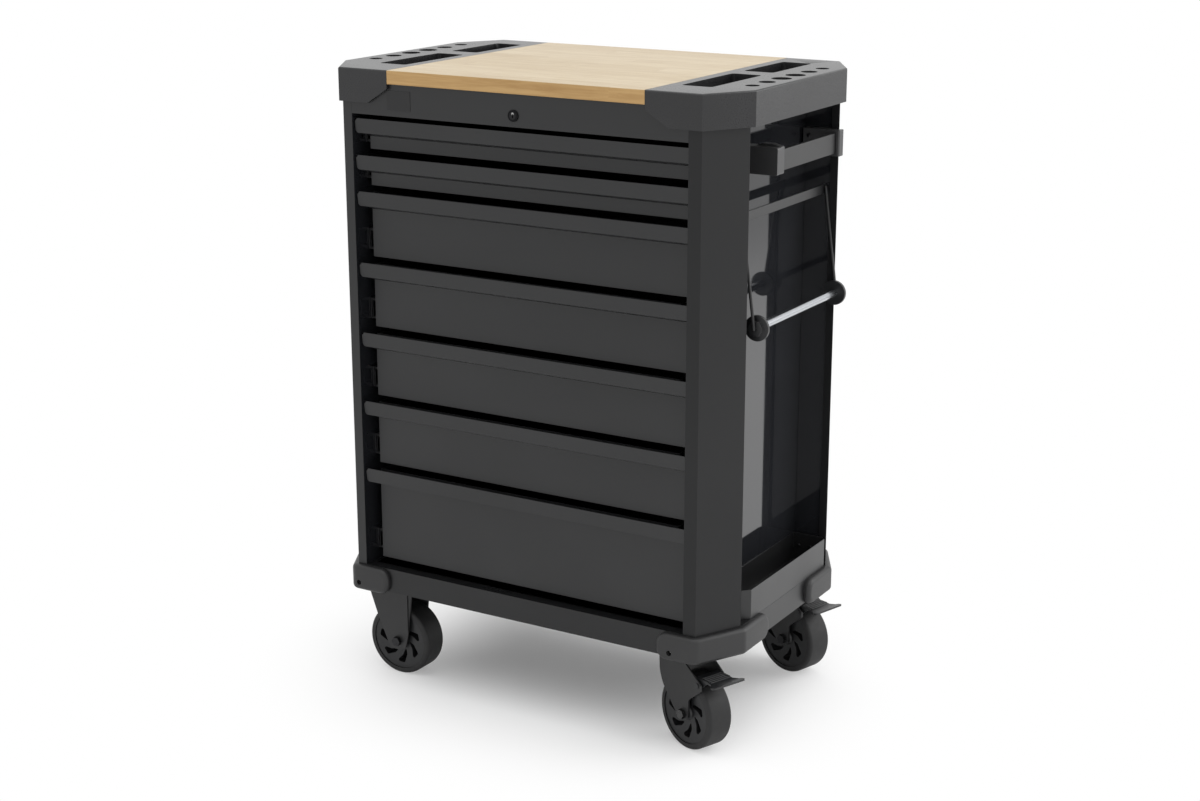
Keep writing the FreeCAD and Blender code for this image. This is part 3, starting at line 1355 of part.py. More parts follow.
def check_and_write():
    """Check every object of the document, then write one file for each sub-part."""
    doc.recompute()
    for item in doc.Objects:
        if "Invalid" in item.State or "Error" in item.State:
            raise RuntimeError(f"{item.Name} failed: {item.State}")
        if item.isDerivedFrom("PartDesign::Pocket"):
            before = item.BaseFeature.Shape.Volume
            if before - item.Shape.Volume < SMALLEST_CUT:
                raise RuntimeError(f"{item.Name} cuts nothing")
    labels = [item.Label for item in nodes]
    if len(set(labels)) != len(labels):
        raise RuntimeError("two sub-parts share a label")
    os.makedirs("parts", exist_ok=True)
    for item in nodes:
        if item.Shape.isNull() or not item.Shape.isValid():
            raise RuntimeError(f"{item.Label} has no valid shape")
        item.Shape.exportStep(f"parts/{item.Label}.step")
    print(f"{len(nodes)} sub-parts written")


make_base()
make_shell()
make_slide_walls()
make_columns()
make_back()
make_fascia()
make_deck()
make_board()
make_cap("left_cap", -1)
make_cap("right_cap", 1)
make_bumpers()
make_drawers()
make_lock()
make_tray()
make_handle()
make_roll_holder()
make_fixed_castors()
make_swivel_castors()
make_bolts()
make_screws()
check_and_write()
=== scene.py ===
# %% [markdown]
# # A rolling tool cabinet
# This lesson dresses a tool cabinet in Blender. Its solids come from a CAD model that is already packed, and
# this script gives them soft edges, finishes, small fasteners, a floor, lights and a camera. Everything is in
# metres: X runs to the right along the drawers, Y to the back and Z up from the floor.

import json
import math

import bmesh
import bpy
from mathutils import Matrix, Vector
from mathutils.bvhtree import BVHTree


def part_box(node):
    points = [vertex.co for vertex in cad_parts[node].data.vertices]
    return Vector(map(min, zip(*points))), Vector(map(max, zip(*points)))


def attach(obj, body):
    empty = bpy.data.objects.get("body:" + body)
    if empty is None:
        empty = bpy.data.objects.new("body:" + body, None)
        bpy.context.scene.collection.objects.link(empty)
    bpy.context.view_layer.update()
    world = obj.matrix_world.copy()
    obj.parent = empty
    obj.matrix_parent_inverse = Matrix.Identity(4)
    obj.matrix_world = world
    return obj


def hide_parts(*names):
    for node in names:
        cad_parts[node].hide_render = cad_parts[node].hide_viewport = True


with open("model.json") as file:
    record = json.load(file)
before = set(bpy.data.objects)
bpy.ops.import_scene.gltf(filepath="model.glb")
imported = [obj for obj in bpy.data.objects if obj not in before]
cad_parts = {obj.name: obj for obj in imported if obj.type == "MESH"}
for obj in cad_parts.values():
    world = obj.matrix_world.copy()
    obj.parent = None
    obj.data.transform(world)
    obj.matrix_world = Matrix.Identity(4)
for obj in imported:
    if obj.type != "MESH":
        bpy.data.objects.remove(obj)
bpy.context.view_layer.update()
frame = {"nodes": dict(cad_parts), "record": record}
NODES = frame["nodes"]
BODY_OF = {node: body for body, nodes in frame["record"]["behaviour"]["bodies"].items() for node in nodes}


# %% [markdown]
# ## Writing shaders as sums
# A finish is mostly arithmetic on patterns: stripe times noise plus a bit more. Written with single nodes
# that takes pages, so `Wire` wraps one socket and lets Python's own signs add the Math nodes. `Finish` holds
# one material, with one method for any other node, so each finish below stays a short recipe.

# %% Wires and finishes
class Wire:
    """One output socket that can be added, multiplied and compared."""

    def __init__(self, finish, socket):
        self.finish = finish
        self.socket = socket

    def __add__(self, other):
        return self.finish.math("ADD", self, other)

    __radd__ = __add__

    def __mul__(self, other):
        return self.finish.math("MULTIPLY", self, other)

    __rmul__ = __mul__

    def __sub__(self, other):
        return self.finish.math("SUBTRACT", self, other)

    def __rsub__(self, other):
        return self.finish.math("SUBTRACT", other, self)

    def __truediv__(self, other):
        return self.finish.math("DIVIDE", self, other)

    def __gt__(self, other):
        return self.finish.math("GREATER_THAN", self, other)


class Finish:
    """One material and the nodes that it is made of."""

    def __init__(self, name, **uniform):
        self.material = bpy.data.materials.new(name)
        self.material.use_nodes = True
        self.tree = self.material.node_tree
        self.tree.nodes.clear()
        self.shader = self.tree.nodes.new("ShaderNodeBsdfPrincipled")
        self.output = self.tree.nodes.new("ShaderNodeOutputMaterial")
        self.tree.links.new(self.shader.outputs[0], self.output.inputs[0])
        for socket, value in uniform.items():
            self.set(socket.replace("_", " "), value)

    def fill(self, socket, value):
        if isinstance(value, Wire):
            self.tree.links.new(value.socket, socket)
        else:
            socket.default_value = value

    def set(self, socket, value):
        self.fill(self.shader.inputs[socket], value)
        return self

    def node(self, kind, settings, sockets, out=0):
        """Add a node: its own settings first, then what goes into its sockets."""
        made = self.tree.nodes.new("ShaderNode" + kind)
        for name, value in settings.items():
            setattr(made, name, value)
        for name, value in sockets.items():
            self.fill(made.inputs[name], value)
        return Wire(self, made.outputs[out])

    def math(self, operation, *values):
        return self.node("Math", {"operation": operation}, dict(enumerate(values)))

    def place(self, stretch=(1, 1, 1)):
        """Object coordinates, stretched."""
        spot = self.node("TexCoord", {}, {}, "Object")
        return self.node("Mapping", {}, {"Vector": spot, "Scale": stretch})

    def noise(self, scale, stretch=(1, 1, 1), detail=3.0, rough=0.55):
        return self.node("TexNoise", {}, {
            "Vector": self.place(stretch), "Scale": scale, "Detail": detail, "Roughness": rough})

    def spread(self, value, low, high, to_low, to_high):
        """Carry a value from one range to another, held inside it."""
        return self.node("MapRange", {"clamp": True}, {0: value, 1: low, 2: high, 3: to_low, 4: to_high})

    def blend(self, share, first, second):
        """Mix two colours."""
        made = self.tree.nodes.new("ShaderNodeMix")
        made.data_type = "RGBA"
        for name, value in ((0, share), (6, first), (7, second)):
            self.fill(made.inputs[name], value)
        return Wire(self, made.outputs[2])

    def glow(self, share, colour):
        """Mix the surface with an even glow of strength 1."""
        light = self.tree.nodes.new("ShaderNodeEmission")
        light.inputs["Color"].default_value = colour
        mix = self.tree.nodes.new("ShaderNodeMixShader")
        self.fill(mix.inputs[0], share)
        self.tree.links.new(self.shader.outputs[0], mix.inputs[1])
        self.tree.links.new(light.outputs[0], mix.inputs[2])
        self.tree.links.new(mix.outputs[0], self.output.inputs[0])

    def relief(self, height, distance, strength=1.0):
        """Raise the surface by a pattern, through a Bump node that feeds Normal."""
        self.set("Normal", self.node("Bump", {}, {
            "Height": height, "Distance": distance, "Strength": strength}))
        return self


def rgb(red, green, blue):
    return (red, green, blue, 1.0)


def shade(colour, share):
    """The same colour, made darker or paler."""
    return tuple(channel * share for channel in colour[:3]) + (1.0,)


# %% [markdown]
# ## Powder coat
# The sheet metal is powder coated in black: the paint melts in an oven and keeps a faint orange-peel ripple
# about a millimetre wide. Most of its brightness is the pale room mirrored in the ripple, so the colour is
# nearly black and the roughness does the work. A slow noise varies the gloss, as no oven bakes evenly.

# %% Powder coat
CLOUD_SCALE = 5.0
PEEL_SCALE = 620.0


def powder_coat(name, colour, gloss, ripple=0.00003, shine=0.5, uneven=0.08):
    """Powder paint: ripple is the height of the orange peel, and uneven how far the gloss wanders."""
    coat = Finish(name, Specular_IOR_Level=shine)
    slow = coat.noise(CLOUD_SCALE, detail=2.0)
    peel = coat.noise(PEEL_SCALE, detail=2.0)
    clouds = coat.spread(slow, 0.35, 0.65, 0.0, 1.0)
    coat.set("Base Color", coat.blend(clouds, colour, shade(colour, 0.86)))
    wander = coat.spread(slow, 0.3, 0.7, gloss - uneven * 0.4, gloss + uneven * 0.6)
    coat.set("Roughness", wander + peel * uneven / 2)
    return coat.relief(peel, ripple).material


BLACK = rgb(0.0115, 0.0118, 0.0125)
DEEP_BLACK = rgb(0.0100, 0.0102, 0.0108)
# The bay's walls take a paler, bluer black than the panels: painted light.
BLUE_BLACK_PAINTED_LIGHT = rgb(0.0150, 0.0158, 0.0182)
panel_paint = powder_coat("panel_paint", BLACK, 0.34)
# The columns are the same painted sheet as the panels, and their darker copy of the paint is painted shade.
column_paint_painted_shade = powder_coat("column_paint_painted_shade", DEEP_BLACK, 0.36, shine=0.31)
base_paint = powder_coat("base_paint", DEEP_BLACK, 0.27, shine=0.39)
wall_paint_painted_light = powder_coat("wall_paint_painted_light", BLUE_BLACK_PAINTED_LIGHT, 0.045, ripple=0.000001, shine=0.62, uneven=0.02)
tray_paint = powder_coat("tray_paint", rgb(0.0125, 0.0128, 0.0135), 0.32, shine=0.56)
fork_paint = powder_coat("fork_paint", rgb(0.014, 0.014, 0.0145), 0.42)
bar_paint = powder_coat("bar_paint", rgb(0.016, 0.016, 0.0165), 0.38)
print("paints:", panel_paint.name, column_paint_painted_shade.name, base_paint.name, wall_paint_painted_light.name, fork_paint.name)


# %% [markdown]
# ## Moulded plastic
# The caps, bumpers and brackets are moulded in black plastic, and the mould is spark-eroded to a fine grain.
# Voronoi cells give the grain's small pits, and the same cells make the gloss uneven at that scale.

# %% Moulded plastic
PIT_SCALE = 900.0
MOULD_CLOUDS = 9.0


def moulded(name, colour, gloss, grain=0.00004, shine=0.5):
    plastic = Finish(name, Specular_IOR_Level=shine)
    pits = plastic.node("TexVoronoi", {"feature": "F1"}, {"Vector": plastic.place(), "Scale": PIT_SCALE})
    clouds = plastic.spread(plastic.noise(MOULD_CLOUDS, detail=3.0), 0.4, 0.7, 0.0, 1.0)
    plastic.set("Base Color", plastic.blend(clouds, colour, shade(colour, 1.25)))
    plastic.set("Roughness", plastic.spread(pits, 0.0, 0.8, gloss + 0.05, gloss - 0.04))
    return plastic.relief(pits, grain).material


cap_plastic = moulded("cap_plastic", rgb(0.0135, 0.0135, 0.0145), 0.30, grain=0.000025, shine=0.51)
bumper_plastic = moulded("bumper_plastic", rgb(0.014, 0.014, 0.0145), 0.46)
core_plastic = moulded("core_plastic", rgb(0.0070, 0.0074, 0.0082), 0.42, grain=0.00002)
# Painted shade: a darker, rougher plastic for the walls of the wheels' openings.
core_painted_shade = moulded("core_painted_shade", rgb(0.004, 0.004, 0.0045), 0.75, grain=0.00002, shine=0.2)
# The brackets are the same black plastic as the caps, and their paler copy is painted light.
bracket_plastic_painted_light = moulded("bracket_plastic_painted_light", rgb(0.036, 0.036, 0.037), 0.36, shine=0.6)
pedal_plastic = moulded("pedal_plastic", rgb(0.011, 0.0115, 0.0125), 0.38, grain=0.00003)
print("plastics:", cap_plastic.name, bumper_plastic.name, core_plastic.name, pedal_plastic.name)


# %% [markdown]
# ## Rubber
# The tyres are plain rubber without a tread. Turning has left faint rings around the running face, and the
# rubber is duller than the wheel's core. The rings are counted along the axle. A dot product gives that
# distance for a wheel that stands at any angle.

# %% Rubber
RING_TURNS = 2600.0
DUST_SCALE = 60.0
RUBBER_GRAIN = 900.0


def tyre_rubber(name, centre, axis):
    """Rubber for one wheel, whose axle runs through centre along axis."""
    rubber = Finish(name, Specular_IOR_Level=0.42)
    spot = rubber.node("TexCoord", {}, {}, "Object")
    arm = rubber.node("VectorMath", {"operation": "SUBTRACT"}, {0: spot, 1: centre})
    along = rubber.node("VectorMath", {"operation": "DOT_PRODUCT"}, {0: arm, 1: axis}, "Value")
    rings = rubber.math("SINE", along * RING_TURNS)
    dust = rubber.noise(DUST_SCALE, detail=5.0)
    dusty = rubber.spread(dust, 0.5, 0.75, 0.0, 0.6)
    rubber.set("Base Color", rubber.blend(dusty, rgb(0.011, 0.011, 0.0115), rgb(0.027, 0.026, 0.025)))
    rubber.set("Roughness", rubber.spread(dust, 0.3, 0.7, 0.52, 0.66))
    return rubber.relief(rings * 0.3 + rubber.noise(RUBBER_GRAIN), 0.00004).material


# %% [markdown]
# ## Wood
# The worktop is glued up from strips about 42 mm wide that run along the drawers. Each strip is cut into
# lengths, and each length has its own tone, so two cell numbers, one across and one along, feed a White Noise
# node. The grain is a noise that is stretched along the strip, with finer dark pores on top of it, and the
# lacquer keeps it smooth.

# %% Wood
STRIP = 0.0425
LENGTH = 0.41
STAGGER = 0.618
SKIN = 0.0007
END_SHADE_WIDTH = 0.0009
SEAM_ACROSS = 0.008
SEAM_ALONG = 0.0012
SEAM_DEPTH = 0.45
SHIFT = (3.7, 5.1, 2.3)
GRAIN_STRETCH = (1.0, 14.0, 14.0)
PORE_STRETCH = (9.0, 420.0, 420.0)
# The top's tones are paler than the edges' tones: painted sheen, the lacquer's reflection at a low angle.
PAINTED_SHEEN_TOP_TONES = (
    (rgb(0.58, 0.475, 0.310), rgb(0.50, 0.390, 0.225)),
    (rgb(0.47, 0.360, 0.205), rgb(0.41, 0.295, 0.155)))
EDGE_TONES = (
    (rgb(0.76, 0.500, 0.215), rgb(0.62, 0.380, 0.140)),
    (rgb(0.50, 0.290, 0.095), rgb(0.41, 0.225, 0.065)))
SEAM_TONE = rgb(0.27, 0.155, 0.055)
# Painted shade: the near-black line where the board meets each cap.
END_SHADE_TONE = rgb(0.030, 0.022, 0.015)


def lacquered_wood(name, low, high):
    """Glued strips for a board between two corners. Its top is paler than its edges: painted sheen. A
    near-black line at each end is painted shade, where the board meets the caps.
    """
    wood = Finish(name, Specular_IOR_Level=0.5)
    parts = wood.node("SeparateXYZ", {}, {"Vector": wood.place()}).socket.node.outputs
    x, y, z = [Wire(wood, parts[part]) for part in "XYZ"]
    across = (y - low[1]) / STRIP
    row = wood.math("FLOOR", across)
    along = (x - low[0]) / LENGTH + row * STAGGER
    cell = wood.math("FLOOR", along)
    pick = wood.node("CombineXYZ", {}, {"X": row, "Y": cell, "Z": 3.0})
    tone = wood.node("TexWhiteNoise", {"noise_dimensions": "3D"}, {"Vector": pick}, "Value")
    shifted = wood.node("VectorMath", {"operation": "MULTIPLY_ADD"}, {
        0: pick, 1: SHIFT, 2: wood.place(GRAIN_STRETCH)})
    grain = wood.node("TexNoise", {}, {
        "Vector": shifted, "Scale": 9.0, "Detail": 6.0, "Roughness": 0.62, "Distortion": 0.6})
    pores = wood.node("TexNoise", {}, {
        "Vector": wood.place(PORE_STRETCH), "Scale": 2.2, "Detail": 3.0, "Roughness": 0.6})
    figure = wood.spread(grain, 0.36, 0.68, 0.0, 1.0)
    top, edge = [wood.blend(figure, wood.blend(tone, *pale), wood.blend(tone, *deep))
                 for pale, deep in (PAINTED_SHEEN_TOP_TONES, EDGE_TONES)]
    # Top or edge by height: the paler top is painted sheen.
    body = wood.blend(z > high[2] - SKIN, edge, top)
    streak = wood.spread(pores, 0.56, 0.72, 0.0, 0.35)
    inside_row = wood.math("PINGPONG", across, 0.5) > SEAM_ACROSS
    inside_length = wood.math("PINGPONG", along, 0.5) > SEAM_ALONG
    seam = 1.0 - inside_row * inside_length
    joined = wood.blend(wood.math("MAXIMUM", streak, seam * SEAM_DEPTH), body, SEAM_TONE)
    # A near-black line at each end of the board: painted shade.
    from_end = wood.math("MINIMUM", x - low[0], high[0] - x)
    wood.set("Base Color", wood.blend(from_end > END_SHADE_WIDTH, END_SHADE_TONE, joined))
    wood.set("Roughness", wood.spread(pores, 0.3, 0.75, 0.29, 0.44))
    return wood.relief(pores * 0.6 + seam * 0.4, 0.00005).material


board_low, board_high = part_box("worktop_board")
worktop_wood = lacquered_wood("worktop_wood", board_low, board_high)
print("worktop board", [round(high - low, 3) for low, high in zip(board_low, board_high)])


# %% [markdown]
# ## Bare metal
# The bolts, axles and slides are plated dark, and the roll holder's tube is drawn aluminium. Plating is not
# even: it clouds in patches a few millimetres wide. Drawn tube shows fine lines along its length.

# %% Bare metal
def plated(name, colour, gloss, cloud=160.0, stretch=(1, 1, 1)):
    metal = Finish(name, Metallic=1.0)
    patches = metal.noise(cloud, stretch, detail=4.0)
    dulled = metal.spread(patches, 0.35, 0.7, 0.0, 1.0)
    metal.set("Base Color", metal.blend(dulled, colour, shade(colour, 0.78)))
    metal.set("Roughness", metal.spread(patches, 0.3, 0.7, gloss - 0.06, gloss + 0.08))
    return metal.relief(patches, 0.00002).material


dark_steel = plated("dark_steel", rgb(0.045, 0.045, 0.047), 0.36)
slide_steel = plated("slide_steel", rgb(0.13, 0.13, 0.135), 0.34)
lock_ring = plated("lock_ring", rgb(0.017, 0.017, 0.018), 0.30)
# A paler copy of the dark plating, for the front swivel axle alone: painted glint.
axle_steel_painted_glint = plated("axle_steel_painted_glint", rgb(0.10, 0.10, 0.10), 0.24)
drawn_tube = plated("drawn_tube", rgb(0.48, 0.495, 0.52), 0.24, cloud=300.0, stretch=(1.0, 0.02, 1.0))
print("metals:", slide_steel.name, dark_steel.name, axle_steel_painted_glint.name, drawn_tube.name)


# Size of the painted highlight around the lock's keyhole.
HIGHLIGHT_RADIUS = 0.0016
HIGHLIGHT_FADE = 0.0027


def lock_core():
    """Dark plating, with a bright patch around the keyhole that is a painted highlight."""
    core = Finish("lock_core", Metallic=1.0, Roughness=0.3)
    low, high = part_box("lock_cylinder")
    centre = ((low[0] + high[0]) / 2, low[1], (low[2] + high[2]) / 2)
    spot = core.node("TexCoord", {}, {}, "Object")
    reach = core.node("VectorMath", {"operation": "DISTANCE"}, {0: spot, 1: centre}, "Value")
    painted_highlight = core.spread(reach + core.noise(900.0) * 0.0006, HIGHLIGHT_RADIUS, HIGHLIGHT_FADE, 1.0, 0.0)
    core.set("Base Color", core.blend(painted_highlight, rgb(0.030, 0.030, 0.031), rgb(0.55, 0.55, 0.54)))
    return core.material


# %% [markdown]
# ## Soft edges on the solids
# A CAD solid has corners of no width, which never catch light, while folded sheet and mouldings have small
# rounds that draw a bright line along each edge. A copy of the node's mesh is welded, flat triangles are
# joined again, and a Bevel modifier rounds what is left. The copy then stands for the node.

# %% Soft edges
FLAT = math.radians(1.5)
WELD = 0.00001


def join_parts(mesh):
    """Weld the loose triangles of a node and join what lies flat."""
    work = bmesh.new()
    work.from_mesh(mesh)
    bmesh.ops.remove_doubles(work, verts=work.verts, dist=WELD)
    bmesh.ops.dissolve_limit(work, angle_limit=FLAT, verts=work.verts, edges=work.edges)
    work.to_mesh(mesh)
    work.free()


def softened(node, material, width=0.0005, segments=2, angle=28.0):
    """A welded copy of a node with rounded edges, in the node's place."""
    mesh = NODES[node].data.copy()
    join_parts(mesh)
    mesh.materials.clear()
    mesh.materials.append(material)
    mesh.shade_smooth()
    mesh.set_sharp_from_angle(angle=math.radians(angle + 2.0))
    piece = bpy.data.objects.new(node + "_soft", mesh)
    bpy.context.scene.collection.objects.link(piece)
    bevel = piece.modifiers.new("edge", "BEVEL")
    bevel.width = width
    bevel.segments = segments
    bevel.limit_method = "ANGLE"
    bevel.angle_limit = math.radians(angle)
    bevel.harden_normals = True
    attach(piece, BODY_OF[node])
    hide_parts(node)
    return piece


def drawer_nodes(kind):
    return [node for node in NODES if node.startswith("drawer_") and node.endswith(kind)]


SHEET_EDGE = 0.0005
SHEETS = {
    "left_shell": (panel_paint, SHEET_EDGE, 2), "fascia": (panel_paint, SHEET_EDGE, 2),
    "shelf_tray": (tray_paint, SHEET_EDGE, 2), "bay_rear_panel": (wall_paint_painted_light, 0.0012, 3),
    "front_right_column": (column_paint_painted_shade, SHEET_EDGE, 2), "rear_right_column": (column_paint_painted_shade, SHEET_EDGE, 2),
    "base_pan": (base_paint, SHEET_EDGE, 2)}
SHEETS.update({node: (panel_paint, 0.0008, 3) for node in drawer_nodes("_front")})
for node, (paint, width, segments) in SHEETS.items():
    softened(node, paint, width, segments)
print("soft panels:", len(SHEETS))


# %% [markdown]
# ## Panels that stay as they are
# The inner walls, the back, the deck and the drawers' boxes are plain flat sheet. Their edges are covered or
# in the dark, so the CAD solids stay and only take a paint. The slides and the lock bar keep their solids
# too, and are plated. The wall between the drawers and the side bay is glossier than the rest, because its
# paint has hardly any ripple. Its paler, bluer colour is painted light.

# %% Plain panels
def dress(node, material):
    mesh = NODES[node].data
    mesh.materials.clear()
    mesh.materials.append(material)


PLAIN = {"back_panel": panel_paint, "top_deck": panel_paint, "slide_walls": wall_paint_painted_light,
         "slide_rails": slide_steel, "lock_bar": dark_steel}
PLAIN.update({node: panel_paint for node in drawer_nodes("_box")})
PLAIN.update({node: slide_steel for node in drawer_nodes("_slide")})
for node, material in PLAIN.items():
    dress(node, material)
print("plain nodes:", len(PLAIN))


# %% [markdown]
# ## Worktop, caps and bumpers
# The wooden board lies between two moulded caps. The bumpers wrap the base's corners and are rounder than the
# rest, as the solids already show, so their copies only need small rounds where faces still meet sharply.

# %% Worktop, caps and bumpers
softened("worktop_board", worktop_wood, 0.0006)
for node in ("left_cap", "right_cap"):
    softened(node, cap_plastic, 0.0011, segments=3)
softened("corner_bumpers", bumper_plastic, 0.0008)
for node in ("handle_front_bracket", "handle_rear_bracket"):
    softened(node, bracket_plastic_painted_light, 0.0015, segments=3)
softened("push_bar", bar_paint, 0.0008)


# %% [markdown]
# ## Roll holder and lock
# The roll holder is painted wire with two plastic discs and a bare tube. The lock has a dark rim, and its
# core is dark plating with a painted highlight around the keyhole.

# %% Roll holder and lock
softened("roll_bracket", panel_paint, 0.0004)
softened("roll_discs", pedal_plastic, 0.0008)
softened("roll_tube", drawn_tube, 0.0003)
softened("lock_housing", lock_ring, 0.0006)
softened("lock_cylinder", lock_core(), 0.0003)


# %% [markdown]
# ## Castors
# Each wheel is one node with two solids, the core and the tyre. Their faces are told apart by how far they
# lie from the axle's line, so that the tyre can be rubber and the core plastic. Faces of the core that turn
# away from the axle's direction are mostly the walls of its openings, and are darker and rougher. The
# darkness is painted shade, for the depth of the openings. The joints say where each axle is and which way
# it points, also for the two castors that stand turned.

# %% Castors
JOINTS = {joint["child"]: joint for joint in frame["record"]["behaviour"]["joints"]}
RIM = 0.0525
WALL_TURN = 0.3
CORE, TYRE, OPENING_SHADE = 0, 1, 2
WHEELS = ("front_fixed_wheel", "rear_fixed_wheel", "front_swivel_wheel", "rear_swivel_wheel")


def wheel_piece(node):
    joint = JOINTS[BODY_OF[node]]
    centre, axis = Vector(joint["pos_m"]), Vector(joint["axis"])
    piece = softened(node, core_plastic, 0.0005, angle=34.0)
    piece.data.materials.append(tyre_rubber(node + "_rubber", centre, axis))
    piece.data.materials.append(core_painted_shade)
    for face in piece.data.polygons:
        reach = max((piece.data.vertices[index].co - centre).cross(axis).length for index in face.vertices)
        # The walls of the openings take the painted shade.
        wall = abs(face.normal.dot(axis)) < WALL_TURN
        face.material_index = TYRE if reach > RIM else OPENING_SHADE if wall else CORE


for wheel in WHEELS:
    wheel_piece(wheel)
for node in ("fixed_castor_forks", "swivel_castor_plates", "front_swivel_fork", "rear_swivel_fork"):
    softened(node, fork_paint, 0.0006, angle=34.0)
for node in ("front_brake_pedal", "rear_brake_pedal"):
    softened(node, pedal_plastic, 0.0006, angle=34.0)
dress("fixed_castor_axles", dark_steel)
# The front swivel axle is paler than the rear one, though the two are alike: painted glint.
softened("front_swivel_axle", axle_steel_painted_glint, 0.0005)
softened("rear_swivel_axle", dark_steel, 0.0005)
print("wheels:", len(WHEELS))


# %% [markdown]
# ## Screws and bolts
# Small shapes repeat: pan-head screws sit in the bumpers and the bay, and the brake pedals have ribs. One
# Geometry Nodes tree puts a shape on each point of a list. The shape is modelled once, the tree has its size
# as a named input, and the result is turned into a plain mesh. The shape has no finish of its own, so Realize
# Instances leaves an empty slot 0, and the tree's finish is in slot 1.

# %% Fastener tree
HEAD_PROFILE = [(1.0, 0.0), (1.0, 0.35), (0.9, 0.72), (0.66, 0.94), (0.42, 1.0)]
PIT_SHARE = 0.7


def head_mesh(name, sides, radius, height, recess):
    """A screw head that stands on its underside and points along Z: domed, with a round pit in it."""
    work = bmesh.new()
    rings = []
    for share, rise in HEAD_PROFILE:
        rings.append([work.verts.new((
            radius * share * math.cos(2 * math.pi * k / sides),
            radius * share * math.sin(2 * math.pi * k / sides), height * rise)) for k in range(sides)])
    for low, high in zip(rings, rings[1:]):
        for k in range(sides):
            work.faces.new((low[k], low[(k + 1) % sides], high[(k + 1) % sides], high[k]))
    work.faces.new(list(reversed(rings[0])))
    bottom = height * (1.0 - recess)
    pit = [work.verts.new((vertex.co.x * PIT_SHARE, vertex.co.y * PIT_SHARE, bottom)) for vertex in rings[-1]]
    for k in range(sides):
        work.faces.new((rings[-1][k], rings[-1][(k + 1) % sides], pit[(k + 1) % sides], pit[k]))
    work.faces.new(pit)
    mesh = bpy.data.meshes.new(name)
    work.to_mesh(mesh)
    work.free()
    return mesh


def fastener_tree(name, head, material):
    """A tree that stands the head on every point, scaled by an input, and gives it a material."""
    tree = bpy.data.node_groups.new(name, "GeometryNodeTree")
    tree.interface.new_socket("Points", in_out="INPUT", socket_type="NodeSocketGeometry")
    tree.interface.new_socket("Head scale", in_out="INPUT", socket_type="NodeSocketFloat")
    tree.interface.new_socket("Heads", in_out="OUTPUT", socket_type="NodeSocketGeometry")
    source = tree.nodes.new("NodeGroupInput")
    result = tree.nodes.new("NodeGroupOutput")
    info = tree.nodes.new("GeometryNodeObjectInfo")
    info.inputs["Object"].default_value = head
    align = tree.nodes.new("FunctionNodeAlignRotationToVector")
    align.axis = "Z"
    stand = tree.nodes.new("GeometryNodeInstanceOnPoints")
    real = tree.nodes.new("GeometryNodeRealizeInstances")
    paint = tree.nodes.new("GeometryNodeSetMaterial")
    paint.inputs["Material"].default_value = material
    direction = tree.nodes.new("GeometryNodeInputNamedAttribute")
    direction.data_type = "FLOAT_VECTOR"
    direction.inputs["Name"].default_value = "facing"
    link = tree.links.new
    link(source.outputs["Points"], stand.inputs["Points"])
    link(info.outputs["Geometry"], stand.inputs["Instance"])
    link(direction.outputs["Attribute"], align.inputs["Vector"])
    link(align.outputs["Rotation"], stand.inputs["Rotation"])
    link(source.outputs["Head scale"], stand.inputs["Scale"])
    link(stand.outputs["Instances"], real.inputs["Geometry"])
    link(real.outputs["Geometry"], paint.inputs["Geometry"])
    link(paint.outputs["Geometry"], result.inputs["Heads"])
    return tree


def fasteners(name, spots, head, material, scale=1.0):
    """One mesh of fasteners: spots are pairs of a place and the way that the head faces."""
    points = bpy.data.meshes.new(name)
    points.from_pydata([tuple(place) for place, _ in spots], [], [])
    facing = points.attributes.new("facing", "FLOAT_VECTOR", "POINT")
    for index, (_, way) in enumerate(spots):
        facing.data[index].vector = way
    stock = bpy.data.objects.new(name + "_head", head)
    tree = fastener_tree(name + "_tree", stock, material)
    piece = bpy.data.objects.new(name, points)
    bpy.context.scene.collection.objects.link(piece)
    modifier = piece.modifiers.new("heads", "NODES")
    modifier.node_group = tree
    for item in tree.interface.items_tree:
        if item.name == "Head scale":
            modifier[item.identifier] = scale
    made = bpy.data.meshes.new_from_object(piece.evaluated_get(bpy.context.evaluated_depsgraph_get()))
    piece.modifiers.remove(modifier)
    piece.data = made
    bpy.data.objects.remove(stock)
    return piece


def islands(node):
    """Lowest and highest corner of each separate solid of a node."""
    work = bmesh.new()
    work.from_mesh(NODES[node].data)
    bmesh.ops.remove_doubles(work, verts=work.verts, dist=WELD)
    left = set(work.verts)
    found = []
    while left:
        queue = [left.pop()]
        spots = []
        while queue:
            vertex = queue.pop()
            spots.append(vertex.co.copy())
            for edge in vertex.link_edges:
                other = edge.other_vert(vertex)
                if other in left:
                    left.discard(other)
                    queue.append(other)
        found.append((Vector([min(p[i] for p in spots) for i in range(3)]),
                      Vector([max(p[i] for p in spots) for i in range(3)])))
    work.free()
    return sorted(found, key=lambda pair: tuple(round(value, 5) for value in pair[0]))


# %% [markdown]
# The screws' places are read from the CAD solids, so that a head stands where its solid is. A round head
# points along the axis whose other two sizes are equal, and to the back only on the two rear bumpers. The
# heads in the bay take slot 1, the dark plating. The heads on the bumpers take slot 0, which is empty, so
# they show the pale grey that Blender gives a face without a finish.

# %% Screws
BACK_PLANE = 0.2
HEAD_SIDES = 20
HEAD_RECESS = 0.55
BAY_LEFT = 0.2
BAY_FRONT = -0.2
BAY_LOW, BAY_HIGH = 0.2, 1.0
NO_FINISH, TREE_FINISH = 0, 1


def head_spot(low, high):
    """Where a screw's underside sits, which way its head points, its radius and its height."""
    size = high - low
    axis = min(range(3), key=lambda k: abs(size[k - 1] - size[k - 2]))
    outwards = -1.0 if axis == 1 and low.y < BACK_PLANE else 1.0
    way = Vector((0.0, 0.0, 0.0))
    way[axis] = outwards
    place = (low + high) / 2
    place[axis] = low[axis] if outwards > 0 else high[axis]
    return place, way, size[axis - 1] / 2, size[axis]


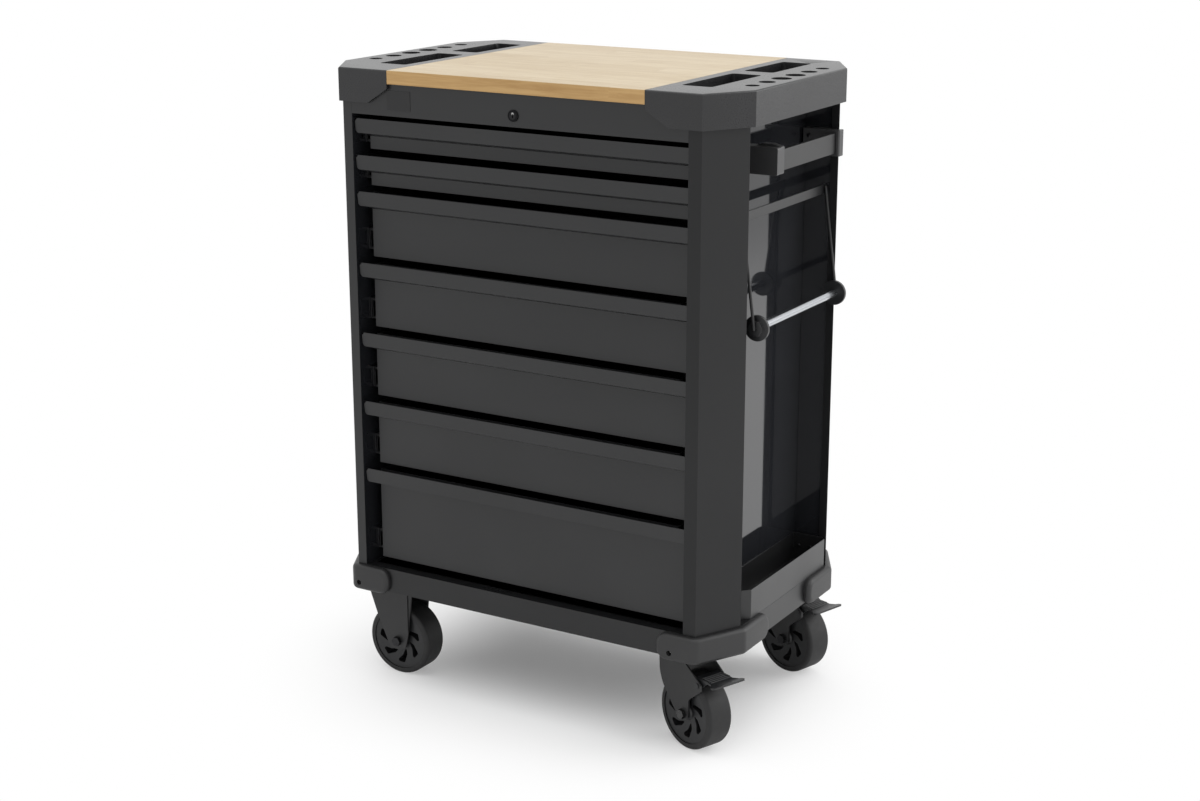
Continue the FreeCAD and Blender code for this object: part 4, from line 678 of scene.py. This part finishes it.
def in_bay(spot):
    return spot.x > BAY_LEFT and spot.y > BAY_FRONT and BAY_LOW < spot.z < BAY_HIGH


screw_list = [head_spot(low, high) for low, high in islands("panel_screws")]
screw_spots = [(place, way) for place, way, _, _ in screw_list]
screw_head = head_mesh("screw_head", HEAD_SIDES, screw_list[0][2], screw_list[0][3], HEAD_RECESS)
screws = fasteners("small_screws", screw_spots, screw_head, dark_steel)
for face in screws.data.polygons:
    face.material_index = TREE_FINISH if in_bay(face.center) else NO_FINISH
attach(screws, "cabinet")
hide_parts("panel_screws")
for place, way in screw_spots:
    print("screw at", [round(value, 4) for value in place], "faces", tuple(way))


# %% [markdown]
# ## Grip ribs on the pedals
# A shoe needs something to hold on to, so each brake pedal has low ribs across its neck. They come from the
# same tree as the screws. The shape that repeats is one rib, turned as its pedal is turned, and a ray from
# above finds how high the plate lies under each rib.

# %% Pedal ribs
RIBS = 5
RIB_FIRST = 0.0035
RIB_PITCH = 0.0050
RIB_HALF = 0.0009
RIB_HEIGHT = 0.0009
RIB_INSET = 0.0030
NECK_ROOM = 0.0275
PLATE_RISE = 0.006
RAY_START = 0.05
RIB_PROFILE = [(-1.0, -0.4), (1.0, -0.4), (1.0, 0.5), (0.5, 1.0), (-0.5, 1.0), (-1.0, 0.5)]


def rib_mesh(name, along, half_length):
    """A low rib that lies along a level direction, with its sides drawn in towards the top."""
    across = Vector((along.y, -along.x, 0.0)) * RIB_HALF
    up = Vector((0.0, 0.0, RIB_HEIGHT))
    work = bmesh.new()
    ends = [[work.verts.new(along * end + across * side + up * rise) for side, rise in RIB_PROFILE]
            for end in (-half_length, half_length)]
    for k in range(len(RIB_PROFILE)):
        after = (k + 1) % len(RIB_PROFILE)
        work.faces.new((ends[0][k], ends[0][after], ends[1][after], ends[1][k]))
    work.faces.new(ends[0])
    work.faces.new(ends[1])
    bmesh.ops.recalc_face_normals(work, faces=work.faces)
    mesh = bpy.data.meshes.new(name)
    work.to_mesh(mesh)
    work.free()
    return mesh


def pedal_ribs(node):
    joint = JOINTS[BODY_OF[node]]
    pin, along = Vector(joint["pos_m"]), Vector(joint["axis"])
    outwards = Vector((along.y, -along.x, 0.0))
    neck = [vertex.co - pin for vertex in NODES[node].data.vertices
            if vertex.co.z > pin.z + PLATE_RISE and 0.0 < (vertex.co - pin).dot(outwards) < NECK_ROOM]
    half_length = max(abs(spot.dot(along)) for spot in neck) - RIB_INSET
    work = bmesh.new()
    work.from_mesh(NODES[node].data)
    surface = BVHTree.FromBMesh(work)
    work.free()
    spots = []
    for k in range(RIBS):
        above = pin + outwards * (RIB_FIRST + k * RIB_PITCH) + Vector((0.0, 0.0, RAY_START))
        spots.append((surface.ray_cast(above, Vector((0.0, 0.0, -1.0)))[0], (0.0, 0.0, 1.0)))
    ribs = fasteners(node + "_ribs", spots, rib_mesh(node + "_rib", along, half_length), pedal_plastic)
    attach(ribs, BODY_OF[node])
    print(node, "ribs of", round(2 * half_length, 4), "at height", round(spots[0][0].z, 4))


for pedal in ("front_brake_pedal", "rear_brake_pedal"):
    pedal_ribs(pedal)


# %% [markdown]
# ## Castor bolts
# The bolts that hold the castors' plates are small, and are solids of the CAD model already. So they keep
# their shape, and only get soft edges and the dark plating.

# %% Castor bolts
softened("castor_bolts", dark_steel, 0.0005)
print("castor bolts:", len(islands("castor_bolts")))


# %% [markdown]
# ## Bare plate on the fascia
# A thin plate sits at the left of the fascia. It is a rounded rectangle of sheet, stood just proud of the
# painted strip, and stays plain.

# %% Bare plate
CORNER_STEPS = 6


def bare_plate(name, low, high, corner, material):
    """A thin plate with rounded corners, seen from the front."""
    work = bmesh.new()
    centres = [(high[0] - corner, high[2] - corner, 0), (low[0] + corner, high[2] - corner, 90),
               (low[0] + corner, low[2] + corner, 180), (high[0] - corner, low[2] + corner, 270)]
    outline = []
    for x, z, start in centres:
        for k in range(CORNER_STEPS + 1):
            turn = math.radians(start + 90 * k / CORNER_STEPS)
            outline.append((x + corner * math.cos(turn), z + corner * math.sin(turn)))
    front = [work.verts.new((x, low[1], z)) for x, z in outline]
    back = [work.verts.new((x, high[1], z)) for x, z in outline]
    work.faces.new(front)
    work.faces.new(list(reversed(back)))
    count = len(outline)
    for k in range(count):
        work.faces.new((front[(k + 1) % count], front[k], back[k], back[(k + 1) % count]))
    bmesh.ops.recalc_face_normals(work, faces=work.faces)
    mesh = bpy.data.meshes.new(name)
    work.to_mesh(mesh)
    work.free()
    mesh.materials.append(material)
    piece = bpy.data.objects.new(name, mesh)
    bpy.context.scene.collection.objects.link(piece)
    bevel = piece.modifiers.new("edge", "BEVEL")
    bevel.width = 0.0002
    bevel.segments = 2
    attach(piece, "cabinet")
    return piece


fascia_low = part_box("fascia")[0]
PLATE = {"left": 0.071, "wide": 0.046, "low": 0.0095, "high": 0.0415, "thick": 0.0006}
plate_x = fascia_low[0] + PLATE["left"]
bare_plate("bare_plate", (plate_x, fascia_low[1] - PLATE["thick"], fascia_low[2] + PLATE["low"]),
           (plate_x + PLATE["wide"], fascia_low[1], fascia_low[2] + PLATE["high"]), 0.002,
           powder_coat("plate_paint", rgb(0.006, 0.006, 0.0065), 0.28, ripple=0.00001))


# %% [markdown]
# ## Floor, light and camera
# The studio is white, so the floor is a large pale sheet of paper. Under and near the cabinet the paper shows
# its shadow. Further out it goes over into a plain white glow, for the camera's own rays alone, so that the
# paper's edge doesn't show and the glow lights nothing. The glow is also painted light in the shadow: a
# little of it lies under the cabinet and more towards the shadow's edge, which makes the shadow lighter
# and tighter.

# %% Floor
FLOOR_HALF = 30.0
GLOW_LEAST = 0.04
SHADOW_CORE = (0.15, 0.05, 0.0)
SHADOW_FADE = 0.48


def make_floor():
    mesh = bpy.data.meshes.new("floor")
    corners = [(x * FLOOR_HALF, y * FLOOR_HALF, 0) for x, y in ((-1, -1), (1, -1), (1, 1), (-1, 1))]
    mesh.from_pydata(corners, [], [(0, 1, 2, 3)])
    paper = Finish("paper", Roughness=0.9, Specular_IOR_Level=0.1)
    clouds = paper.spread(paper.noise(2.0), 0.3, 0.7, 0.0, 1.0)
    paper.set("Base Color", paper.blend(clouds, rgb(0.99, 0.99, 0.99), rgb(0.985, 0.985, 0.987)))
    size = paper.node("VectorMath", {"operation": "ABSOLUTE"}, {0: paper.place()})
    past = paper.node("VectorMath", {"operation": "SUBTRACT"}, {0: size, 1: SHADOW_CORE})
    outside = paper.node("VectorMath", {"operation": "MAXIMUM"}, {0: past, 1: (0.0, 0.0, 0.0)})
    reach = paper.node("VectorMath", {"operation": "LENGTH"}, {0: outside}, "Value")
    fade = paper.node("MapRange", {"interpolation_type": "SMOOTHSTEP"}, {
        0: reach, 1: 0.0, 2: SHADOW_FADE, 3: GLOW_LEAST, 4: 1.0})
    paper.glow(fade * paper.node("LightPath", {}, {}, "Is Camera Ray"), rgb(1.0, 1.0, 1.0))
    mesh.materials.append(paper.material)
    floor = bpy.data.objects.new("floor", mesh)
    bpy.context.scene.collection.objects.link(floor)


make_floor()


# %% [markdown]
# The light is very soft, so most of it is the white world itself. The world counts fully for the camera and
# for glossy reflections, and a little less where it lights dull surfaces, so that the wood and the paper
# don't turn too bright. Two large soft lamps, above and to the right, give the caps and the bay their
# brighter sides.

# %% Light
WORLD_LIGHT = 0.82


def make_world():
    world = bpy.data.worlds.new("studio")
    world.use_nodes = True
    tree = world.node_tree
    background = tree.nodes["Background"]
    path = tree.nodes.new("ShaderNodeLightPath")
    strength = tree.nodes.new("ShaderNodeMix")
    strength.inputs[2].default_value = WORLD_LIGHT
    strength.inputs[3].default_value = 1.0
    direct = tree.nodes.new("ShaderNodeMath")
    direct.operation = "MAXIMUM"
    tree.links.new(path.outputs["Is Camera Ray"], direct.inputs[0])
    tree.links.new(path.outputs["Is Glossy Ray"], direct.inputs[1])
    tree.links.new(direct.outputs[0], strength.inputs[0])
    tree.links.new(strength.outputs[0], background.inputs["Strength"])
    background.inputs["Color"].default_value = rgb(1.0, 1.0, 1.0)
    bpy.context.scene.world = world


def soft_lamp(name, place, aim, size, power):
    data = bpy.data.lights.new(name, "AREA")
    data.shape = "RECTANGLE"
    data.size, data.size_y = size
    data.energy = power
    lamp = bpy.data.objects.new(name, data)
    lamp.location = place
    lamp.rotation_euler = (Vector(aim) - Vector(place)).to_track_quat("-Z", "Y").to_euler()
    bpy.context.scene.collection.objects.link(lamp)


make_world()
soft_lamp("overhead", (0.3, -0.4, 3.4), (0, 0, 0.6), (3.0, 3.0), 34.0)
soft_lamp("right_side", (2.7, 1.7, 1.8), (0.2, 0, 0.6), (2.4, 2.4), 46.0)


# %% [markdown]
# The camera's place, tilt and turn come from how the cabinet's straight edges run together in the picture.
# The lens is 61 mm on a sensor 36 mm wide.

# %% Camera
CAMERA_PLACE = (1.7114, -2.8706, 1.4493)
LENS = 61.13
TILT = 15.96
TURN = 30.68
camera_data = bpy.data.cameras.new("camera")
camera_data.sensor_fit = "HORIZONTAL"
camera_data.sensor_width = 36.0
camera_data.lens = LENS
camera_data.clip_end = 200.0
camera = bpy.data.objects.new("camera", camera_data)
camera.location = CAMERA_PLACE
camera.rotation_euler = (math.radians(90.0 - TILT), 0.0, math.radians(TURN))
bpy.context.scene.collection.objects.link(camera)
bpy.context.scene.camera = camera
bpy.context.scene.view_settings.view_transform = "Standard"
print("camera at", tuple(round(value, 3) for value in camera.location))
